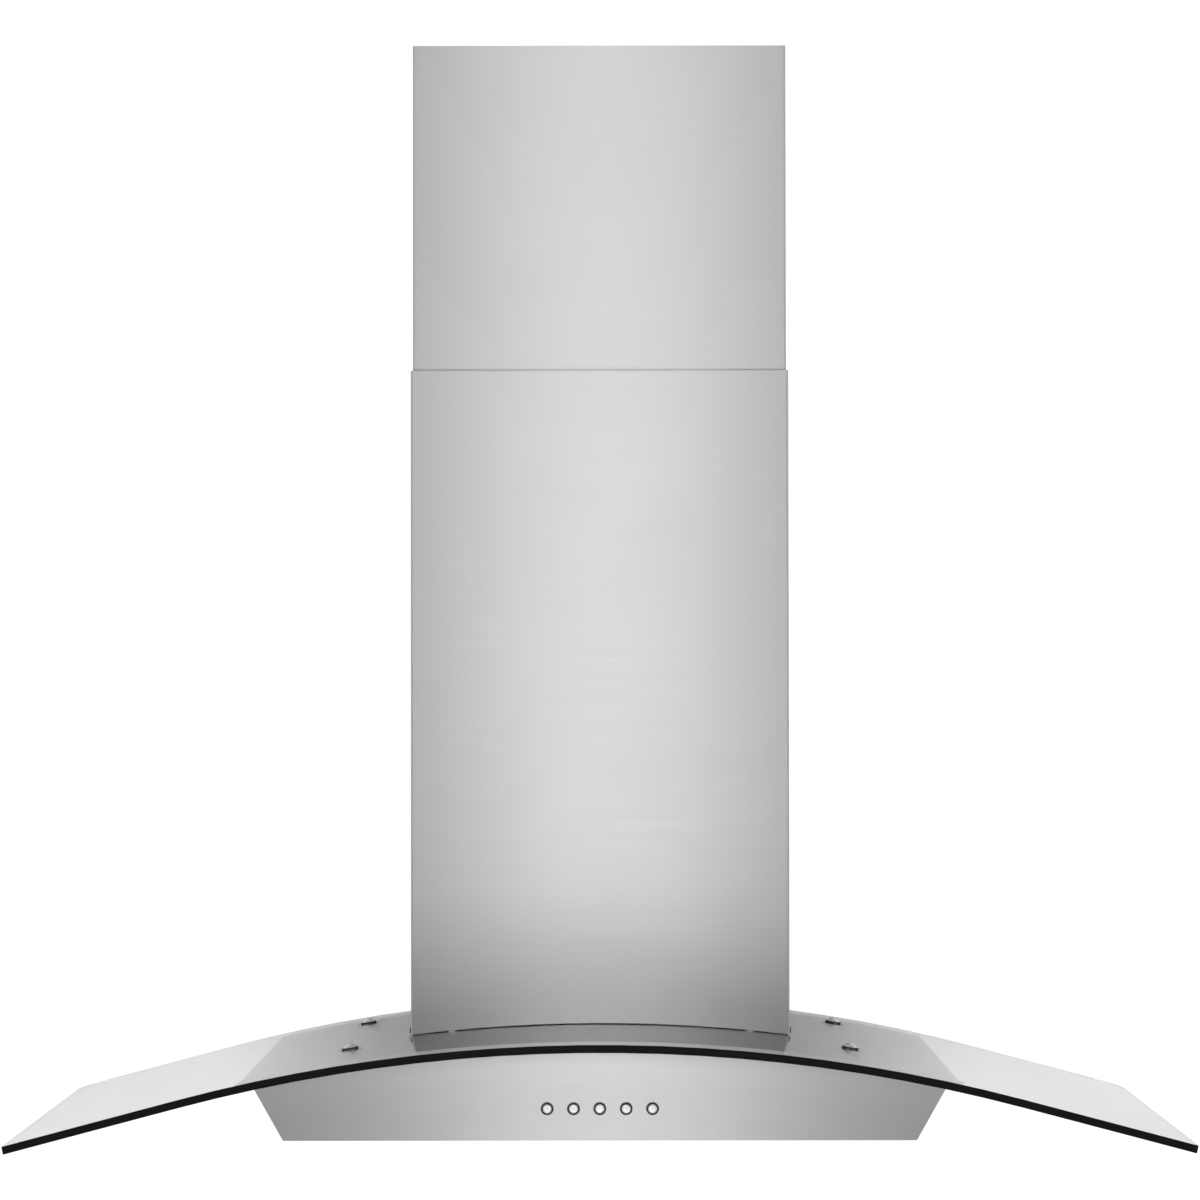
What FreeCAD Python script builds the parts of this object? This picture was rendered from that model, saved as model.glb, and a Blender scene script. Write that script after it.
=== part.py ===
"""Wall-mounted range hood with a curved glass canopy. Millimetres, one STEP file per piece.

The wall is the plane Y = 0 and the front is toward -Y. Z = 0 is the top of the glass at its crown,
and X = 0 is the middle of the hood.
"""
import FreeCAD, Part
import math
import os

V = FreeCAD.Vector
X_AXIS = V(1, 0, 0)
Y_AXIS = V(0, 1, 0)
Z_AXIS = V(0, 0, 1)

# ------------------------------------------------------------------ glass canopy
glass_width = 898.0
glass_depth = 500.0
glass_thickness = 6.0
glass_arc_radius = 1246.0
glass_arc_half_angle = 14.8
glass_front_corner = 3.0
glass_rear_corner = 24.0
glass_notch_clearance = 3.0

# ------------------------------------------------------------------ glass fixings
glass_screw_inset = 77.0
glass_screw_setback = 117.0
glass_screw_rear_y = -78.5
glass_screw_radius = 2.5
glass_screw_head_radius = 5.6
glass_screw_head_height = 3.0
glass_screw_slot = 1.2
glass_hole_radius = 4.5
glass_washer_radius = 6.5
glass_washer_thickness = 1.2
glass_pad_radius = 10.0
glass_pad_thickness = 1.5
nut_across_flats = 8.0
nut_height = 4.0
thread_gap = 0.05
screw_tail = 3.0

# ------------------------------------------------------------------ body under the glass
body_overhang = 40.0
body_drop = 75.7
body_bottom_width = 481.0
body_side_slope = 29.5
body_sheet = 1.0
body_hem = 12.0
plate_sheet = 1.2
plate_reach = 33.0
weld_gap = 0.1
panel_gap = 0.3
back_sheet = 1.2
neck_margin = 25.0
neck_top_z = 150.0
wall_hole_radius = 4.5
wall_hole_pitch_x = 236.0
wall_hole_pitch_z = 90.0
wall_hole_middle_z = 80.0

# ------------------------------------------------------------------ grease filters
filter_side_margin = 15.5
filter_setback = 100.0
filter_thickness = 9.0
filter_rail = 12.0
filter_wall = 1.0
filter_rear_y = -60.0
filter_middle_gap = 14.0
filter_clearance = 1.0
filter_mesh_thickness = 3.0
filter_mesh_pitch = 15.0
filter_mesh_bar = 3.5
filter_tab_width = 20.0
filter_tab_reach = 8.0
filter_tab_spread = 140.0
filter_seat_gap = 0.3
filter_clip_width = 16.0
filter_clip_sheet = 0.4
filter_clip_hook = 0.6
filter_handle_width = 64.0
filter_handle_depth = 22.0

# ------------------------------------------------------------------ lamps
lamp_spacing = 300.0
lamp_setback = 48.0
lamp_cup_radius = 28.0
lamp_cup_height = 28.0
lamp_wall = 1.2
lamp_ring_radius = 33.0
lamp_ring_lip = 0.7
lamp_lens_radius = 25.0
lamp_lens_thickness = 2.0
lamp_gap = 0.1

# ------------------------------------------------------------------ controls
button_count = 5
button_pitch = 20.0
button_rise = 24.2
button_radius = 3.55
button_proud = 1.0
button_travel = 2.5
button_stem_radius = 2.0
button_clearance = 0.08
button_crown = 0.3
bezel_radius = 4.9
bezel_recess_radius = 4.35
bezel_recess_depth = 1.8
bezel_lip = 0.3
bezel_hole_gap = 0.05
switch_block_front_gap = 11.0
switch_block_depth = 20.0
switch_block_height = 22.0
switch_block_margin = 12.0
switch_pillar = 7.0
board_thickness = 1.6

# ------------------------------------------------------------------ blower
housing_width = 210.0
housing_depth = 255.0
housing_bottom_z = -30.0
housing_sheet = 1.0
housing_gap = 2.0
housing_screw_x = 80.0
housing_screw_low_z = 30.0
housing_screw_high_z = 130.0
small_screw_radius = 2.0
small_screw_head_radius = 3.8
small_screw_head_height = 1.8
scroll_front_gap = 11.2
scroll_floor_gap = 7.0
scroll_top_gap = 2.0
scroll_wall = 2.0
scroll_half_width = 56.0
outlet_depth = 84.0
inlet_overlap = 12.0
impeller_rise = 6.0
impeller_gap = 22.0
impeller_half_width = 50.0
impeller_ring = 8.0
impeller_ring_width = 3.0
impeller_disc = 2.0
impeller_blades = 32
blade_thickness = 1.2
blade_depth = 9.0
blade_lean = 35.0
hub_radius = 11.0
hub_left_x = -12.0
hub_right_x = 8.0
shaft_radius = 4.0
shaft_left_x = -16.0
shaft_right_x = 48.0
shaft_fit = 0.05
motor_radius = 42.0
motor_front_x = 12.0
motor_boss_radius = 14.0
motor_boss_length = 2.5
spider_sheet = 2.0
spider_disc_radius = 36.0
spider_arm_width = 14.0
spider_arm_overlap = 11.0
spider_screw_overlap = 5.5
spider_arms = 3

# ------------------------------------------------------------------ outlet collar and flaps
collar_y = -90.0
collar_radius = 75.0
collar_sheet = 1.2
collar_height = 60.0
collar_flange_radius = 84.0
collar_gasket = 2.0
collar_stop_width = 3.0
collar_stop_height = 1.0
collar_screw_circle = 79.8
flap_rise = 22.0
flap_thickness = 1.0
flap_edge_gap = 1.0
flap_rod_radius = 2.0
flap_barrel_radius = 3.4
flap_barrel_fit = 0.06
flap_knuckle = 30.0
flap_knuckle_gap = 0.6
flap_relief = 0.6

# ------------------------------------------------------------------ electrical parts
terminal_box_left_x = -98.0
terminal_box_width = 110.0
terminal_box_front_gap = 8.0
terminal_box_rear_gap = 10.2
terminal_box_height = 38.0
terminal_box_wall = 2.0
terminal_block_width = 70.0
terminal_block_depth = 20.0
terminal_block_height = 16.0
gland_bore_radius = 4.5
gland_barrel_radius = 8.0
gland_hex = 22.0
gland_hex_length = 6.0
gland_nose_radius = 9.5
gland_nose_length = 10.0
gland_inside_length = 6.0
gland_inset = 18.0
capacitor_radius = 17.0
capacitor_length = 58.0
capacitor_left_x = 32.0
clamp_sheet = 1.0
clamp_width = 12.0
clamp_foot = 10.0

# ------------------------------------------------------------------ duct covers
cover_side_gap = 46.0
cover_front_gap = 37.8
cover_sheet = 0.8
cover_bend = 1.6
cover_flange = 15.0
cover_slide_gap = 0.9
cover_runner_gap = 0.3
cover_glass_gap = 0.6
lower_cover_top_z = 521.7
upper_cover_top_z = 782.4
upper_cover_length = 500.0
cover_bracket_sheet = 1.2
cover_bracket_top_z = 14.0
cover_bracket_bottom_z = 1.0
cover_bracket_end_drop = 1.2
cover_screw_inset = 10.0
cover_screw_rise = 3.4
cover_screw_radius = 1.5
cover_screw_head_radius = 2.3
cover_screw_head_height = 1.3
cover_screw_length = 6.0
top_bracket_sheet = 1.5
top_bracket_height = 25.0
top_bracket_drop = 8.0
top_bracket_arm = 45.0
top_bracket_step = 5.0
top_bracket_hole_pitch = 200.0
top_bracket_hole_radius = 2.75
top_screw_y = -30.0

# ------------------------------------------------------------------ sizes that follow from these
bend = math.radians(glass_arc_half_angle)
slope = math.tan(math.radians(body_side_slope))
side_skin = body_sheet / math.cos(math.radians(body_side_slope))
plate_top = glass_thickness + glass_pad_thickness
plate_bottom = plate_top + plate_sheet
body_front_y = body_overhang - glass_depth
body_bottom_z = -body_drop
plate_width = body_bottom_width + 2 * plate_reach
glass_screw_x = plate_width / 2 - glass_screw_inset
glass_screw_front_y = body_front_y + glass_screw_setback
hem_top_z = body_bottom_z + body_sheet
panel_top_z = hem_top_z + body_sheet
housing_back_y = -back_sheet
housing_front_y = housing_back_y - housing_depth
neck_width = housing_width + 2 * neck_margin
button_z = body_bottom_z + button_rise
filter_width = (body_bottom_width - filter_middle_gap) / 2 - filter_side_margin
filter_front_y = body_front_y + filter_setback
filter_depth = filter_rear_y - filter_front_y
aperture_front_y = filter_front_y - filter_clearance
aperture_rear_y = filter_rear_y + filter_clearance
lamp_y = body_front_y + lamp_setback
scroll_rear_y = collar_y + outlet_depth / 2
scroll_front_y = housing_front_y + housing_sheet + scroll_front_gap
scroll_radius = (scroll_rear_y - scroll_front_y) / 2
scroll_centre_y = (scroll_rear_y + scroll_front_y) / 2
scroll_centre_z = housing_bottom_z + scroll_floor_gap + scroll_radius
housing_top_z = scroll_centre_z + scroll_radius + scroll_top_gap + housing_sheet
impeller_radius = scroll_radius - impeller_gap
inlet_radius = impeller_radius - inlet_overlap
impeller_z = scroll_centre_z + impeller_rise
spider_arm_reach = inlet_radius + spider_arm_overlap
spider_screw_reach = inlet_radius + spider_screw_overlap
collar_base_z = housing_top_z + collar_gasket
collar_inner_radius = collar_radius - collar_sheet
flap_z = collar_base_z + flap_rise
terminal_box_front_y = housing_front_y + terminal_box_front_gap
terminal_box_rear_y = collar_y - collar_flange_radius - terminal_box_rear_gap
cover_width = housing_width + 2 * cover_side_gap
cover_depth = back_sheet + housing_depth + cover_front_gap
upper_cover_back_y = -(cover_sheet + cover_runner_gap)
upper_cover_half = cover_width / 2 - cover_sheet - cover_slide_gap
upper_cover_depth = cover_depth - cover_sheet - cover_slide_gap + upper_cover_back_y


# ------------------------------------------------------------------ shape helpers
def box(x0, x1, y0, y1, z0, z1):
    return Part.makeBox(x1 - x0, y1 - y0, z1 - z0, V(x0, y0, z0))


def rod(radius, length, start, axis):
    return Part.makeCylinder(radius, length, start, axis)


def tube(outer, inner, length, start, axis):
    return rod(outer, length, start, axis).cut(rod(inner, length, start, axis))


def joined(shapes):
    return shapes[0].fuse(shapes[1:]).removeSplitter()


def segment(a, b):
    return Part.LineSegment(a, b).toShape()


def mirrored(point):
    return V(-point.x, point.y, point.z)


def mirror_copy(shape):
    return shape.mirror(V(0, 0, 0), X_AXIS)


def upright_edges(shape, y):
    """The straight vertical edges of a shape that stand at this Y."""
    return [
        edge
        for edge in shape.Edges
        if abs(edge.tangentAt(edge.FirstParameter).z) > 0.999 and abs(edge.CenterOfMass.y - y) < 0.01
    ]


def hex_prism(across_flats, length, start, axis):
    corner = across_flats / math.sqrt(3)
    points = [
        V(corner * math.cos(math.radians(60 * i)), corner * math.sin(math.radians(60 * i)), 0)
        for i in range(7)
    ]
    prism = Part.Face(Part.makePolygon(points)).extrude(V(0, 0, length))
    prism.Placement = FreeCAD.Placement(start, FreeCAD.Rotation(Z_AXIS, axis))
    return prism


def dome(radius, height):
    """A low dome on Z = 0."""
    ball = (radius**2 + height**2) / (2 * height)
    sphere = Part.makeSphere(ball, V(0, 0, height - ball))
    return sphere.common(rod(radius, height, V(0, 0, 0), Z_AXIS))


def pan_screw(radius, length, head_radius, head_height, point, axis):
    """A screw whose head stands on a face at this point, with its shank along the axis."""
    shank = rod(radius, length, point, axis)
    head = rod(head_radius, head_height, point - axis * head_height, axis)
    return shank.fuse(head).removeSplitter()


# ------------------------------------------------------------------ the canopy's curve
def arch_height(offset, x):
    """Z of the canopy's curve at a depth below the top of the glass, this far from the middle."""
    radius = glass_arc_radius - offset
    reach = radius * math.sin(bend)
    if x <= reach:
        return math.sqrt(radius**2 - x**2) - glass_arc_radius
    return radius * math.cos(bend) - glass_arc_radius - (x - reach) * math.tan(bend)


def arch_curve(offset, half_width):
    """Edges of the canopy's curve: an arc, with straight wings where it runs past the arc."""
    reach = (glass_arc_radius - offset) * math.sin(bend)
    arc_half = min(half_width, reach)
    arc_end = V(arc_half, 0, arch_height(offset, arc_half))
    edges = [Part.Arc(mirrored(arc_end), V(0, 0, -offset), arc_end).toShape()]
    if half_width > reach:
        tip = V(half_width, 0, arch_height(offset, half_width))
        edges += [segment(arc_end, tip), segment(mirrored(tip), mirrored(arc_end))]
    return edges


def arch_prism(edges, y_front, y_back):
    face = Part.Face(Part.Wire(Part.__sortEdges__(edges)))
    face.translate(V(0, y_front, 0))
    return face.extrude(V(0, y_back - y_front, 0))


def arch_slab(top, thickness, half_width, y_front, y_back):
    """A curved sheet whose ends are cut square to it."""
    lean = min(bend, math.asin(half_width / (glass_arc_radius - top)))
    lower_half = half_width - thickness * math.sin(lean)
    upper_end = V(half_width, 0, arch_height(top, half_width))
    lower_end = V(lower_half, 0, arch_height(top + thickness, lower_half))
    edges = arch_curve(top, half_width) + arch_curve(top + thickness, lower_half)
    edges += [segment(upper_end, lower_end), segment(mirrored(upper_end), mirrored(lower_end))]
    return arch_prism(edges, y_front, y_back)


def under_arch(offset):
    """All that lies under the canopy's curve at a depth below the top of the glass."""
    half = glass_width / 2
    end = V(half, 0, arch_height(offset, half))
    floor = V(half, 0, -glass_depth)
    edges = arch_curve(offset, half)
    edges += [segment(end, floor), segment(floor, mirrored(floor)), segment(mirrored(floor), mirrored(end))]
    return arch_prism(edges, -glass_depth, 0)


def on_glass(shape, x, y, depth):
    """Moves a shape made on Z = 0 to the canopy's curve, square to it, at a depth below its top."""
    lean = math.asin(x / glass_arc_radius)
    radius = glass_arc_radius - depth
    point = V(radius * math.sin(lean), y, radius * math.cos(lean) - glass_arc_radius)
    placed = shape.copy()
    placed.Placement = FreeCAD.Placement(point, FreeCAD.Rotation(Y_AXIS, math.degrees(lean)))
    return placed


def at_glass_screws(shape, depth):
    return [
        on_glass(shape, side * glass_screw_x, y, depth)
        for y in (glass_screw_front_y, glass_screw_rear_y)
        for side in (-1, 1)
    ]


def neck_notch(half_width, clearance):
    """The gap, open toward the wall, that the blower and the neck of the back panel pass through."""
    return box(-half_width, half_width, housing_front_y - clearance, 1, -glass_depth, glass_depth)


# ------------------------------------------------------------------ glass and its fixings
def glass_canopy():
    slab = arch_slab(0, glass_thickness, glass_width / 2, -glass_depth, 0)
    plan = box(-glass_width / 2, glass_width / 2, -glass_depth, 0, -glass_depth, glass_depth)
    plan = plan.makeFillet(glass_rear_corner, upright_edges(plan, 0))
    plan = plan.makeFillet(glass_front_corner, upright_edges(plan, -glass_depth))
    slab = slab.common(plan)
    slab = slab.cut(neck_notch(neck_width / 2 + glass_notch_clearance, glass_notch_clearance))
    hole = rod(glass_hole_radius, 3 * glass_thickness, V(0, 0, -glass_thickness), Z_AXIS)
    return slab.cut(at_glass_screws(hole, glass_thickness))


def glass_screw():
    grip = glass_washer_thickness + plate_bottom + nut_height + screw_tail
    shank = rod(glass_screw_radius, grip, V(0, 0, -grip), Z_AXIS)
    slot_depth = glass_screw_head_height / 2
    slot = box(-glass_screw_head_radius, glass_screw_head_radius, -glass_screw_slot / 2, glass_screw_slot / 2,
               glass_screw_head_height - slot_depth, glass_screw_head_height)
    return dome(glass_screw_head_radius, glass_screw_head_height).cut(slot).fuse(shank).removeSplitter()


def glass_fixings():
    shank_hole = glass_screw_radius + thread_gap
    washer = tube(glass_washer_radius, shank_hole, glass_washer_thickness, V(0, 0, 0), Z_AXIS)
    bed = arch_slab(glass_thickness, glass_pad_thickness, plate_width / 2, -glass_depth, 0)
    pad = tube(glass_pad_radius, shank_hole, 2 * plate_top, V(0, 0, 0), Z_AXIS)
    nut = hex_prism(nut_across_flats, nut_height, V(0, 0, 0), Z_AXIS)
    nut = nut.cut(rod(shank_hole, nut_height, V(0, 0, 0), Z_AXIS))
    return {
        "glass_screws": at_glass_screws(glass_screw(), -glass_washer_thickness),
        "glass_screw_washers": at_glass_screws(washer, 0),
        "glass_pads": [blank.common(bed) for blank in at_glass_screws(pad, 2 * plate_top)],
        "glass_screw_nuts": at_glass_screws(nut, plate_bottom + thread_gap + nut_height),
    }


# ------------------------------------------------------------------ body panels
def body_half_width(z):
    return body_bottom_width / 2 + (z - body_bottom_z) * slope


def body_outline(y, inset):
    """The body's front outline at this Y, its sides moved in, before its top is cut to the curve."""
    low = body_half_width(body_bottom_z) - inset
    high = body_half_width(0) - inset
    points = [V(-low, y, body_bottom_z), V(low, y, body_bottom_z), V(high, y, 0), V(-high, y, 0)]
    return Part.Face(Part.makePolygon(points + points[:1]))


def front_panel():
    sheet = body_outline(body_front_y, 0).extrude(V(0, body_sheet, 0))
    reach = body_bottom_width / 2 - side_skin
    hem = box(-reach, reach, body_front_y, body_front_y + body_hem, body_bottom_z, hem_top_z)
    panel = joined([sheet.common(under_arch(plate_bottom + weld_gap)), hem])
    hole_radius = bezel_radius - bezel_lip + bezel_hole_gap
    start_y = body_front_y - body_sheet
    starts = [V(x, start_y, button_z) for x in button_places()]
    return panel.cut([rod(hole_radius, 3 * body_sheet, start, Y_AXIS) for start in starts])


def side_panel():
    """The right side panel: the slice between the body's outline and the same outline moved in."""
    length = -back_sheet - body_front_y - body_sheet
    start = body_front_y + body_sheet
    outer = body_outline(start, 0).extrude(V(0, length, 0))
    inner = body_outline(start, side_skin).extrude(V(0, length, 0))
    low = body_bottom_width / 2
    hem = box(low - body_hem, low, body_front_y + body_hem, -back_sheet, body_bottom_z, hem_top_z)
    wall = outer.cut(inner).common(box(0, glass_width, -glass_depth, 0, -glass_depth, 0))
    return joined([wall.common(under_arch(plate_bottom + weld_gap)), hem])


def wall_hole_places():
    return [
        V(side * wall_hole_pitch_x / 2, -back_sheet, wall_hole_middle_z + level * wall_hole_pitch_z / 2)
        for side in (-1, 1)
        for level in (-1, 1)
    ]


def housing_screw_places():
    return [
        V(side * housing_screw_x, housing_back_y - housing_sheet, z)
        for side in (-1, 1)
        for z in (housing_screw_low_z, housing_screw_high_z)
    ]


def back_panel():
    sheet = body_outline(-back_sheet, 0).extrude(V(0, back_sheet, 0))
    sheet = sheet.common(under_arch(plate_top))
    neck = box(-neck_width / 2, neck_width / 2, -back_sheet, 0, body_bottom_z, neck_top_z)
    panel = joined([sheet, neck])
    holes = [rod(wall_hole_radius, back_sheet, place, Y_AXIS) for place in wall_hole_places()]
    shank = small_screw_radius + thread_gap
    holes += [rod(shank, 2 * back_sheet, place, Y_AXIS) for place in housing_screw_places()]
    return panel.cut(holes)


def top_plate():
    plate = arch_slab(plate_top, plate_sheet, plate_width / 2, body_front_y, -back_sheet - weld_gap)
    plate = plate.cut(neck_notch(housing_width / 2 + housing_gap, housing_gap))
    hole = rod(glass_screw_radius + thread_gap, 3 * plate_sheet, V(0, 0, -plate_sheet), Z_AXIS)
    return plate.cut(at_glass_screws(hole, plate_bottom))


def filter_middle_x():
    return (filter_width + filter_middle_gap) / 2


def lamp_places(z):
    return [V(side * lamp_spacing / 2, lamp_y, z) for side in (-1, 1)]


def bottom_panel():
    half = body_half_width(hem_top_z) - side_skin - panel_gap
    front_y = body_front_y + body_sheet + panel_gap
    panel = box(-half, half, front_y, -back_sheet - panel_gap, hem_top_z, panel_top_z)
    reach = filter_width / 2 + filter_clearance
    for side in (-1, 1):
        middle = side * filter_middle_x()
        panel = panel.cut(box(middle - reach, middle + reach, aperture_front_y, aperture_rear_y,
                              hem_top_z, panel_top_z))
    lamp_hole = lamp_cup_radius + lamp_gap
    return panel.cut([rod(lamp_hole, body_sheet, place, Z_AXIS) for place in lamp_places(hem_top_z)])


# ------------------------------------------------------------------ grease filters
def filter_frame(middle):
    x0 = middle - filter_width / 2
    x1 = middle + filter_width / 2
    z0 = hem_top_z
    z1 = z0 + filter_thickness
    rail = filter_rail
    wall = filter_wall
    mid = (z0 + z1) / 2
    frame = box(x0, x1, filter_front_y, filter_rear_y, z0, z1)
    frame = frame.cut(box(x0 + rail, x1 - rail, filter_front_y + rail, filter_rear_y - rail, z0, z1))
    slot = filter_mesh_thickness / 2 + filter_clearance / 4
    frame = frame.cut(box(x0 + wall, x1 - wall, filter_front_y + wall, filter_rear_y - wall,
                          mid - slot, mid + slot))
    seat_z = panel_top_z + filter_seat_gap
    tabs = [
        box(x - filter_tab_width / 2, x + filter_tab_width / 2, filter_rear_y - wall,
            aperture_rear_y + filter_tab_reach, seat_z, seat_z + wall)
        for x in (middle - filter_tab_spread / 2, middle + filter_tab_spread / 2)
    ]
    return joined([frame] + tabs)


def filter_mesh(middle):
    """One holed sheet, held in the frame's groove."""
    gap = filter_wall + filter_clearance / 2
    x0 = middle - filter_width / 2 + gap
    x1 = middle + filter_width / 2 - gap
    y0 = filter_front_y + gap
    y1 = filter_rear_y - gap
    z = hem_top_z + (filter_thickness - filter_mesh_thickness) / 2
    outline = Part.makePolygon([V(x0, y0, z), V(x1, y0, z), V(x1, y1, z), V(x0, y1, z), V(x0, y0, z)])
    columns = int((filter_width - 2 * filter_rail) // filter_mesh_pitch)
    rows = int((filter_depth - 2 * filter_rail) // filter_mesh_pitch)
    half = (filter_mesh_pitch - filter_mesh_bar) / 2
    holes = []
    for column in range(columns):
        for row in range(rows):
            cx = middle + (column - (columns - 1) / 2) * filter_mesh_pitch
            cy = (filter_front_y + filter_rear_y) / 2 + (row - (rows - 1) / 2) * filter_mesh_pitch
            diamond = [V(cx - half, cy, z), V(cx, cy - half, z), V(cx + half, cy, z), V(cx, cy + half, z)]
            holes.append(Part.Face(Part.makePolygon(diamond + diamond[:1])))
    sheet = Part.Face(outline).cut(holes)
    return sheet.extrude(V(0, 0, filter_mesh_thickness))


def filter_clip(middle):
    """A leaf spring on top of the front rail, whose nose hooks over the edge of the aperture."""
    x0 = middle - filter_clip_width / 2
    x1 = middle + filter_clip_width / 2
    top = hem_top_z + filter_thickness
    low = panel_top_z + filter_seat_gap
    nose = aperture_front_y - filter_clip_hook
    rail_end = filter_front_y + filter_rail
    leaf = box(x0, x1, nose, rail_end, top, top + filter_clip_sheet)
    web = box(x0, x1, nose, nose + filter_clip_sheet, low, top + filter_clip_sheet)
    return joined([leaf, web])


def filter_handle(middle):
    """A finger cup behind the front rail, open downward."""
    x0 = middle - filter_handle_width / 2
    x1 = middle + filter_handle_width / 2
    y0 = filter_front_y + filter_rail + filter_wall / 4
    y1 = y0 + filter_handle_depth
    z0 = hem_top_z
    z1 = hem_top_z + (filter_thickness - filter_mesh_thickness) / 2 - filter_clearance / 4
    cup = box(x0, x1, y0, y1, z0, z1)
    lip = 3 * filter_wall
    return cup.cut(box(x0 + filter_wall, x1 - filter_wall, y0 + filter_wall, y1 - lip, z0, z1 - filter_wall))


def filters():
    pieces = {}
    for name, side in (("left", -1), ("right", 1)):
        middle = side * filter_middle_x()
        pieces[name + "_filter_frame"] = [filter_frame(middle)]
        pieces[name + "_filter_mesh"] = [filter_mesh(middle)]
        pieces[name + "_filter_clip"] = [filter_clip(middle)]
        pieces[name + "_filter_handle"] = [filter_handle(middle)]
    return pieces


# ------------------------------------------------------------------ lamps
def lamps():
    inner = lamp_cup_radius - lamp_wall
    seat_z = hem_top_z + lamp_lens_thickness + lamp_gap
    cup_top_z = hem_top_z + lamp_cup_height
    cups, rings, lenses, boards = [], [], [], []
    up = Z_AXIS
    for place in lamp_places(hem_top_z):
        cup = rod(lamp_cup_radius, lamp_cup_height, place, up)
        cup = cup.cut(rod(inner, lamp_cup_height - lamp_wall, place, up))
        rest = place + up * (lamp_lens_thickness + lamp_gap)
        cups.append(cup.fuse(tube(inner, inner - lamp_wall, lamp_wall, rest, up)).removeSplitter())
        rings.append(tube(lamp_ring_radius, lamp_lens_radius, lamp_ring_lip, place - up * lamp_ring_lip, up))
        lenses.append(rod(inner - lamp_gap, lamp_lens_thickness, place, up))
        board_place = V(place.x, place.y, cup_top_z - lamp_wall - board_thickness)
        boards.append(rod(inner - lamp_gap, board_thickness, board_place, up))
    return {"lamp_housings": cups, "lamp_trim_rings": rings, "lamp_lenses": lenses, "lamp_boards": boards}


# ------------------------------------------------------------------ buttons and switches
def button_places():
    return [(i - (button_count - 1) / 2) * button_pitch for i in range(button_count)]


def button(x):
    face_y = body_front_y - button_proud
    cap_length = switch_block_front_gap + button_proud + body_sheet - button_travel - panel_gap
    cap = rod(button_radius, cap_length, V(x, face_y, button_z), Y_AXIS)
    edge = [e for e in cap.Edges if abs(e.CenterOfMass.y - face_y) < 0.01 and e.Closed]
    cap = cap.makeFillet(button_crown, edge)
    stem_length = switch_block_front_gap + body_sheet + button_proud + switch_block_depth / 2
    stem = rod(button_stem_radius, stem_length, V(x, face_y, button_z), Y_AXIS)
    return cap.fuse(stem).removeSplitter()


def button_bezel(x):
    """A ring in the panel's hole: a shallow recess round the cap, then the bore that guides it."""
    lip_y = body_front_y - bezel_lip
    block_y = body_front_y + body_sheet + switch_block_front_gap
    barrel = rod(bezel_radius - bezel_lip, block_y - lip_y, V(x, lip_y, button_z), Y_AXIS)
    lip = rod(bezel_radius, bezel_lip, V(x, lip_y, button_z), Y_AXIS)
    recess = rod(bezel_recess_radius, bezel_recess_depth, V(x, lip_y, button_z), Y_AXIS)
    bore = rod(button_radius + button_clearance, block_y - lip_y, V(x, lip_y, button_z), Y_AXIS)
    return barrel.fuse(lip).cut([recess, bore]).removeSplitter()


def switch_block():
    inner_y = body_front_y + body_sheet
    y0 = inner_y + switch_block_front_gap
    half = (button_count - 1) / 2 * button_pitch + switch_block_margin
    z0 = button_z - switch_block_height / 2
    z1 = button_z + switch_block_height / 2
    block = box(-half, half, y0, y0 + switch_block_depth, z0, z1)
    pillars = [box(side * half - (side > 0) * switch_pillar, side * half + (side < 0) * switch_pillar,
                   inner_y, y0, z0, z1) for side in (-1, 1)]
    depth = switch_block_depth / 2 + button_travel + panel_gap
    bore = button_stem_radius + button_clearance
    holes = [rod(bore, depth, V(x, y0, button_z), Y_AXIS) for x in button_places()]
    return joined([block] + pillars).cut(holes)


def control_board():
    y0 = body_front_y + body_sheet + switch_block_front_gap + switch_block_depth
    half = (button_count - 1) / 2 * button_pitch + switch_block_margin
    reach = switch_block_height / 2
    return box(-half, half, y0, y0 + board_thickness, button_z - reach, button_z + reach)


BUTTON_NAMES = (
    "light_button",
    "fan_off_button",
    "low_speed_button",
    "medium_speed_button",
    "high_speed_button",
)


def controls():
    pieces = {name: [button(x)] for name, x in zip(BUTTON_NAMES, button_places())}
    pieces["button_bezels"] = [button_bezel(x) for x in button_places()]
    pieces["switch_block"] = [switch_block()]
    pieces["control_board"] = [control_board()]
    return pieces


# ------------------------------------------------------------------ blower
def blower_housing():
    half = housing_width / 2
    sheet = housing_sheet
    shell = box(-half, half, housing_front_y, housing_back_y, housing_bottom_z, housing_top_z)
    shell = shell.cut(box(-half + sheet, half - sheet, housing_front_y + sheet, housing_back_y - sheet,
                          housing_bottom_z, housing_top_z - sheet))
    deck_z = housing_top_z - sheet
    shank = small_screw_radius + thread_gap
    holes = [rod(collar_inner_radius - collar_stop_width, sheet, V(0, collar_y, deck_z), Z_AXIS)]
    holes += [rod(shank, sheet, place, Y_AXIS) for place in housing_screw_places()]
    holes += [rod(shank, sheet, V(place.x, place.y, deck_z), Z_AXIS) for place in collar_screw_places()]
    return shell.cut(holes)


def scroll_solid(inset, x0, x1, top_z):
    radius = scroll_radius - inset
    drum = rod(radius, x1 - x0, V(x0, scroll_centre_y, scroll_centre_z), X_AXIS)
    front_y = scroll_rear_y - outlet_depth + inset
    mouth = box(x0, x1, front_y, scroll_rear_y - inset, scroll_centre_z, top_z)
    return drum.fuse(mouth)


def scroll_half():
    """The right half of the scroll, with its inlet in the side wall."""
    top_z = housing_top_z - housing_sheet
    shell = scroll_solid(0, 0, scroll_half_width, top_z)
    shell = shell.cut(scroll_solid(scroll_wall, 0, scroll_half_width - scroll_wall, top_z + scroll_wall))
    inlet = rod(inlet_radius, scroll_half_width, V(0, scroll_centre_y, impeller_z), X_AXIS)
    return shell.cut(inlet).removeSplitter()


def spider_directions():
    return [math.radians(90 + 360 * i / spider_arms) for i in range(spider_arms)]


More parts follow.
